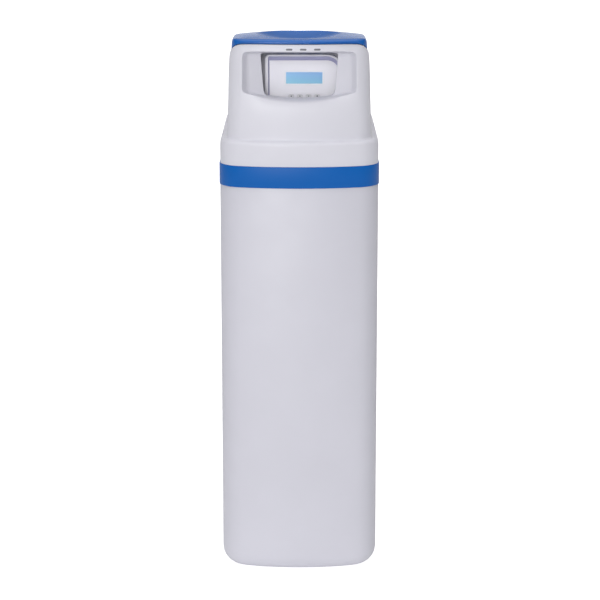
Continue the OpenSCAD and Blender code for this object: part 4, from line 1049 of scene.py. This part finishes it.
class SOFTENER_OT_rail_pads(Operator):
    """Models the three small oval pads on the front rail"""

    bl_idname = "softener.rail_pads"
    bl_label = "Rail pads"

    def execute(self, context):
        hood = context.scene.softener_hood
        level = hood.opening_top + hood.rail_cut + hood.pad_level
        for count in (1, 2, 3):
            x = hood.pad_middle + (count - 2) * hood.pad_step
            rail = front_line(RAIL_INSET, x)
            front = rail - PAD_PROUD
            piece = pill(f"rail_pad_{count}", x, level, hood.pad_width, hood.pad_height, front, front + 0.002)
            pick("EDGE", lambda a, b: a.y < front + TINY and b.y < front + TINY)
            round_edges(width=0.0003, steps=2)
            pick("FACE", lambda middle, normal: normal.y < -0.99 and middle.y < front + TINY)
            bpy.ops.mesh.inset(thickness=0.0007)
            bpy.ops.transform.translate(value=(0, 0.0002, 0))
            shift(lambda co: True, lambda co: (0, self.rail_place(co) - rail, 0))
            close_up(piece)
            smooth(piece, 40)
            dress(piece, finish("pad_rubber"), "hood", "rubber_seal")
        return {"FINISHED"}

    def rail_place(self, co):
        """Place of the hood's outer face in front of a point."""
        hit, place = bpy.data.objects["hood_moulding"].ray_cast((co.x, -0.4, co.z), (0, 1, 0))[:2]
        if not hit:
            raise RuntimeError("no rail in front of the pad")
        return place.y


# Sizes of the rings of the lid's crown, as shares of its edge
CROWN_SCALES = (1.0, 0.90, 0.76, 0.60, 0.42, 0.22)
# Share of the crown's rise at the middle of the dish
DISH_CROWN = 0.68
# Width of the lid's knuckles, and the reach, foot and top of their arms
LID_KNUCKLE = 0.015
LID_ARM = (-0.012, 0.0015, 0.006)


class SOFTENER_OT_salt_lid(Operator):
    """Models the blue salt lid: sloped crown, round dish and hinge knuckles"""

    bl_idname = "softener.salt_lid"
    bl_label = "Salt lid"

    def execute(self, context):
        hood = context.scene.softener_hood
        lid = context.scene.softener_lid
        base = hood.rim + lid.gap
        wall_top = base + 0.004
        piece = cabinet_block("lid_moulding", hood.rim_inset, base, wall_top)
        pick_rim(wall_top)
        loft([(0.0, wall_top), (0.0006, lid.edge - 0.007), (0.0018, lid.edge - 0.0034),
              (0.0044, lid.edge - 0.0009), (0.0085, lid.edge)])
        for before, after in zip(CROWN_SCALES, CROWN_SCALES[1:]):
            extrude((0, 0, lid.crown * (before * before - after * after)))
            bpy.ops.transform.resize(value=(after / before, after / before, 1), center_override=(0, 0, 0))
        bpy.ops.mesh.edge_face_add()
        shift(lambda co: co.z < wall_top + NEAR / 4, lambda co: (0, 0, rail_rise(co.y)))
        shift(lambda co: True, lambda co: (0, 0, rear_fall(co.y)))
        close_up(piece)
        subdivide_smooth(piece, 2)
        bpy.ops.object.mode_set(mode="EDIT")
        bpy.ops.mesh.select_all(action="DESELECT")
        bpy.ops.mesh.select_non_manifold()
        bpy.ops.mesh.edge_face_add()
        close_up(piece)
        top = lid.edge + lid.crown * DISH_CROWN + rear_fall(lid.dish_place)
        centre = (0, lid.dish_place, top - lid.dish_depth + lid.dish_sphere)
        dish = start_ball("dish_ball", centre, lid.dish_sphere, 144, 300)
        carve(piece, dish)
        bpy.ops.object.mode_set(mode="EDIT")
        pick("FACE", lambda middle, normal: normal.z < -0.5)
        bpy.ops.mesh.delete(type="ONLY_FACE")
        bpy.ops.object.mode_set(mode="OBJECT")
        thicken(piece, lid.wall)
        join_all(piece, [knuckle("lid_knuckle", side * lid.hinge_half, LID_KNUCKLE, LID_ARM, lid.pin_hole)
                         for side in (-1, 1)])
        smooth(piece, 9)
        dress(piece, finish("lid_blue"), "lid", "blue_trim", "salt_lid")
        return {"FINISHED"}


# How far the head's cutters reach past it, how deep they cut its face, and where the neck's opening starts
PAST = 0.01
FACE_CUT = 0.004
NECK_START = 0.032


class SOFTENER_OT_head_cover(Operator):
    """Models the control head's cover: round corners, sunk panel, openings for display and buttons"""

    bl_idname = "softener.head_cover"
    bl_label = "Head cover"

    def execute(self, context):
        head = context.scene.softener_head
        left, right = head.middle - head.half_width, head.middle + head.half_width
        front = head.face - head.rim_proud
        piece = start_cube("head_shell", (left, front, head.low), (right, head.back, head.high))
        round_outline(head, 0.0)
        pick("FACE", lambda middle, normal: normal.y > 0.9)
        bpy.ops.mesh.delete(type="ONLY_FACE")
        pick("EDGE", lambda a, b: abs(a.y - front) < TINY and abs(b.y - front) < TINY)
        round_edges(head.rim_round, 3)
        self.sink_panel(head)
        close_up(piece)
        thicken(piece, head.wall)
        self.cut_openings(head, piece, left)
        join_all(piece, [self.flange(head, left, right)])
        smooth(piece, 30)
        dress(piece, finish("head_plastic"), "cabinet", "head_plastic", "head_cover")
        # Painted shade in the groove round the panel
        self.line_groove(head, piece)
        return {"FINISHED"}

    def sink_panel(self, head):
        """Sinks the face behind its rim, with a groove round the panel that is wider along the top."""
        pick("FACE", lambda middle, normal: normal.y < -0.999)
        bpy.ops.mesh.inset(thickness=head.rim - head.rim_round)
        inner = head.high - head.low - 2 * head.rim
        self.stretch(1 + head.rim_thin / inner, head.low + head.rim)
        extrude((0, head.rim_proud + head.groove_depth, 0))
        bpy.ops.mesh.inset(thickness=head.groove)
        foot = head.low + head.rim + head.groove
        panel = head.high - head.rim + head.rim_thin - head.groove - foot
        self.stretch(1 - head.groove_drop / panel, foot)
        extrude((0, -head.groove_depth, 0))

    def stretch(self, share, foot):
        """Stretches the selection upwards from a height."""
        bpy.ops.transform.resize(value=(1, 1, share), center_override=(0, 0, foot))

    def cut_openings(self, head, piece, left):
        """Cuts the openings for the display, the buttons, the valve's neck and the power socket."""
        wide, tall = head.lcd_width / 2, head.lcd_height / 2
        pocket = start_cube("display_cutter", (head.middle - wide, head.face - PAST, head.lcd_level - tall),
                            (head.middle + wide, head.face + FACE_CUT, head.lcd_level + tall))
        pick("EDGE", lambda a, b: abs(a.y - b.y) > TINY)
        round_edges(width=0.0015, steps=4)
        carve(piece, pocket)
        for x in button_places(head):
            slot = pill("button_cutter", x, head.keypad_level, head.button_width + head.button_play,
                        head.button_height + head.button_play, head.face - FACE_CUT, head.face + FACE_CUT)
            carve(piece, slot)
        half = head.neck_half
        neck = start_cube("neck_cutter", (head.middle - half, head.face + NECK_START, head.low - PAST),
                          (head.middle + half, head.back + 2 * PAST, head.low + head.neck_top))
        carve(piece, neck)
        socket = start_rod("socket_cutter", (left, head.socket_place, head.low + head.socket_up),
                           head.socket_hole, 2 * PAST, "x")
        carve(piece, socket)

    def line_groove(self, head, piece):
        """Paints shade into the real groove round the panel: a darker purple-grey on its floor and walls
        stands in for the shadow there.
        """
        piece.data.materials.append(finish("groove_grey"))
        for face in piece.data.polygons:
            x, y, z = face.center
            outside = (abs(x - head.middle) > head.lcd_width / 2 + head.groove_drop
                       or z > head.lcd_level + head.lcd_height or z < head.keypad_level - head.button_height)
            behind = y - head.face
            if outside and 2 * TINY < behind < head.groove_depth + 3 * TINY and face.normal.y < 0.5:
                face.material_index = 1

    def flange(self, head, left, right):
        """The flange round the cover, behind its face."""
        reach = head.flange
        front = head.face + head.flange_back
        band = start_cube("head_flange", (left - reach, front, head.low - reach),
                          (right + reach, front + head.flange_wall, head.high + reach))
        round_outline(head, reach)
        pick("EDGE", lambda a, b: abs(a.y - front) < TINY and abs(b.y - front) < TINY)
        round_edges(width=0.001, steps=2)
        pick("FACE", lambda middle, normal: abs(normal.y) > 0.999)
        bpy.ops.mesh.inset(thickness=reach + 0.0005)
        bpy.ops.mesh.bridge_edge_loops()
        close_up(band)
        return band


def round_outline(head, reach):
    """Rounds the four long edges of the open head block, each with its own radius."""
    middle = (head.low + head.high) / 2
    corners = ((-1, 1, head.left_corner), (1, 1, head.right_corner), (-1, -1, head.foot_corner),
               (1, -1, head.foot_corner))
    for sideways, upward, radius in corners:
        pick("EDGE", lambda a, b: abs(a.y - b.y) > TINY and abs(a.x - b.x) < TINY and abs(a.z - b.z) < TINY
             and sideways * (a.x - head.middle) > head.half_width + reach - TINY
             and upward * (a.z - middle) > (head.high - head.low) / 2 + reach - TINY)
        round_edges(radius + reach, 10)


def button_places(head):
    """Sideways places of the four buttons."""
    return [head.middle + (i - 1.5) * head.button_step for i in range(4)]


def pill(name, x, z, width, height, front, back):
    """An oval bar along the depth, open in edit mode."""
    piece = start_rod(name, (x, (front + back) / 2, z), height / 2, back - front, "y", 32)
    for side in (-1, 1):
        pick("VERT", lambda co: side * (co.x - x) > TINY)
        bpy.ops.transform.translate(value=(side * (width - height) / 2, 0, 0))
    return piece


# Width of each step of a button's dished top, and the rise of each
KEY_STEP = 0.0009
KEY_RISES = (-0.0003, 0.0004)
# How much wider and taller than its button a collar is, and its place behind the button
COLLAR_WIDER = 0.0026
COLLAR_TALLER = 0.003
COLLAR_FRONT = 0.0001
COLLAR_BACK = 0.001
# Size and thickness of the marks, the width of their edge, and their rise
MARK_RADIUS = 0.0016
MARK_WALL = 0.0006
MARK_EDGE = 0.0002
MARK_RISE = 0.0001


class SOFTENER_OT_buttons(Operator):
    """Models the four oval buttons with a dished top, a collar and a small generic mark"""

    bl_idname = "softener.buttons"
    bl_label = "Buttons"

    def execute(self, context):
        head = context.scene.softener_head
        front = head.face - head.button_proud
        back = head.face + head.wall
        for count, x in enumerate(button_places(head), 1):
            body = f"button_{count}"
            piece = pill(f"key_{count}", x, head.keypad_level, head.button_width, head.button_height, front,
                         back)
            pick("FACE", lambda middle, normal: normal.y < -0.9)
            for rise in KEY_RISES:
                bpy.ops.mesh.inset(thickness=KEY_STEP)
                bpy.ops.transform.translate(value=(0, rise, 0))
            close_up(piece)
            collar = pill("key_collar", x, head.keypad_level, head.button_width + COLLAR_WIDER,
                          head.button_height + COLLAR_TALLER, back + COLLAR_FRONT, back + COLLAR_BACK)
            close_up(collar)
            mark = self.mark(count, x, head.keypad_level, front - MARK_RISE)
            join_all(piece, [collar])
            smooth(piece, 40)
            dress(piece, finish("button_plastic"), body, "button_plastic", body)
            dress(mark, finish("mark_paint"), body, "button_plastic")
        return {"FINISHED"}

    def mark(self, count, x, z, front):
        """A small raised mark: a square, two arrowheads or a dot."""
        sides, turn = ((4, math.pi / 4), (3, 0), (3, math.pi), (20, 0))[count - 1]
        mark = start_rod(f"key_mark_{count}", (x, front, z), MARK_RADIUS, MARK_WALL, "y", sides)
        bpy.ops.mesh.select_all(action="SELECT")
        bpy.ops.transform.rotate(value=turn, orient_axis="Y", center_override=(x, front, z))
        pick("FACE", lambda middle, normal: normal.y < -0.9)
        bpy.ops.mesh.inset(thickness=MARK_EDGE)
        bpy.ops.transform.translate(value=(0, -MARK_RISE, 0))
        close_up(mark)
        return mark


# Points between two guides of the brine line
LINE_STEPS = 6


class SOFTENER_OT_brine_line(Operator):
    """Models the smooth brine line from the valve's elbow to the safety valve in the brine well"""

    bl_idname = "softener.brine_line"
    bl_label = "Brine line"

    def execute(self, context):
        line = context.scene.softener_line
        clear_selection()
        bpy.ops.curve.primitive_nurbs_path_add(location=(0, 0, 0))
        piece = bpy.context.object
        piece.name = "brine_tube"
        path = piece.data
        path.splines.clear()
        route = self.route(line)
        spline = path.splines.new("POLY")
        spline.points.add(len(route) - 1)
        for knot, place in zip(spline.points, route):
            knot.co = (*place, 1.0)
        path.dimensions = "3D"
        path.bevel_depth = line.radius
        path.bevel_resolution = 6
        path.use_fill_caps = True
        bpy.ops.object.convert(target="MESH")
        piece = bpy.context.object
        piece.data.name = "brine_tube"
        bpy.ops.object.mode_set(mode="EDIT")
        close_up(piece)
        smooth(piece, 50)
        dress(piece, finish("tube_plastic"), "cabinet", "black_plastic", "brine_line")
        return {"FINISHED"}

    def route(self, line):
        """Points along the line: a smooth curve through the places that guide it."""
        start, end = Vector(line.elbow), Vector(line.well)
        level = start.z
        guides = [start, start, start + Vector((0, 0.0176, 0)), start + Vector((0.004, 0.0676, 0.006)),
                  Vector((start.x + 0.014, end.y - 0.090, level + 0.004)),
                  Vector((end.x - 0.004, end.y - 0.044, level - 0.008)),
                  Vector((end.x, end.y - 0.010, level - 0.034)), end + Vector((0, 0, 0.0166)), end, end]
        places = []
        for a, b, c, d in zip(guides, guides[1:], guides[2:], guides[3:]):
            for step in range(LINE_STEPS):
                u = step / LINE_STEPS
                places.append(0.5 * (2 * b + (c - a) * u + (2 * a - 5 * b + 4 * c - d) * u ** 2
                                     + (3 * b - a - 3 * c + d) * u ** 3))
        return places + [end]


class SOFTENER_OT_inner_parts(Operator):
    """Gives every node that keeps its shape a finish and fine edges"""

    bl_idname = "softener.inner_parts"
    bl_label = "Inner parts"

    def execute(self, context):
        display = {"display_blue": lit_display("finish_display_blue"),
                   "display_glass": clear_glass("finish_display_glass")}
        for row in frame["record"]["subparts"]:
            node = frame["nodes"][row["node"]]
            framing = row["node"] == "display_frame"
            name = "bezel_plastic" if framing else row["material_slot"]
            node.data.materials.clear()
            node.data.materials.append(display.get(name) or finish(name))
            weld = node.modifiers.new("weld", "WELD")
            weld.merge_threshold = 0.00002
            if not framing:
                edge = node.modifiers.new("edge", "BEVEL")
                edge.width = 0.0005
                edge.segments = 2
                edge.limit_method = "ANGLE"
                edge.angle_limit = math.radians(40)
        return {"FINISHED"}


class SOFTENER_PT_panel(Panel):
    """Lists the softener's pieces in the sidebar"""

    bl_idname = "SOFTENER_PT_panel"
    bl_label = "Water softener"
    bl_space_type = "VIEW_3D"
    bl_region_type = "UI"
    bl_category = "Softener"

    def draw(self, context):
        for operator in OPERATORS:
            self.layout.operator(operator.bl_idname)
        for name, group in GROUPS.items():
            box = self.layout.box()
            box.label(text=group.__doc__)
            for key in group.__annotations__:
                box.prop(getattr(context.scene, name), key)


OPERATORS = (
    SOFTENER_OT_stage,
    SOFTENER_OT_brine_tank,
    SOFTENER_OT_trim_ring,
    SOFTENER_OT_hood,
    SOFTENER_OT_rail_pads,
    SOFTENER_OT_salt_lid,
    SOFTENER_OT_head_cover,
    SOFTENER_OT_buttons,
    SOFTENER_OT_brine_line,
    SOFTENER_OT_inner_parts,
)
CLASSES = tuple(GROUPS.values()) + OPERATORS + (SOFTENER_PT_panel,)


def register():
    """Registers the classes and hangs the sizes on the scene."""
    for entry in CLASSES:
        bpy.utils.register_class(entry)
    for name, group in GROUPS.items():
        setattr(bpy.types.Scene, name, PointerProperty(type=group))


def unregister():
    """Takes everything off again."""
    for name in GROUPS:
        delattr(bpy.types.Scene, name)
    for entry in reversed(CLASSES):
        bpy.utils.unregister_class(entry)


def main():
    """Builds every piece in order."""
    register()
    for operator in OPERATORS:
        group, name = operator.bl_idname.split(".")
        getattr(getattr(bpy.ops, group), name)()


if __name__ == "__main__":
    main()
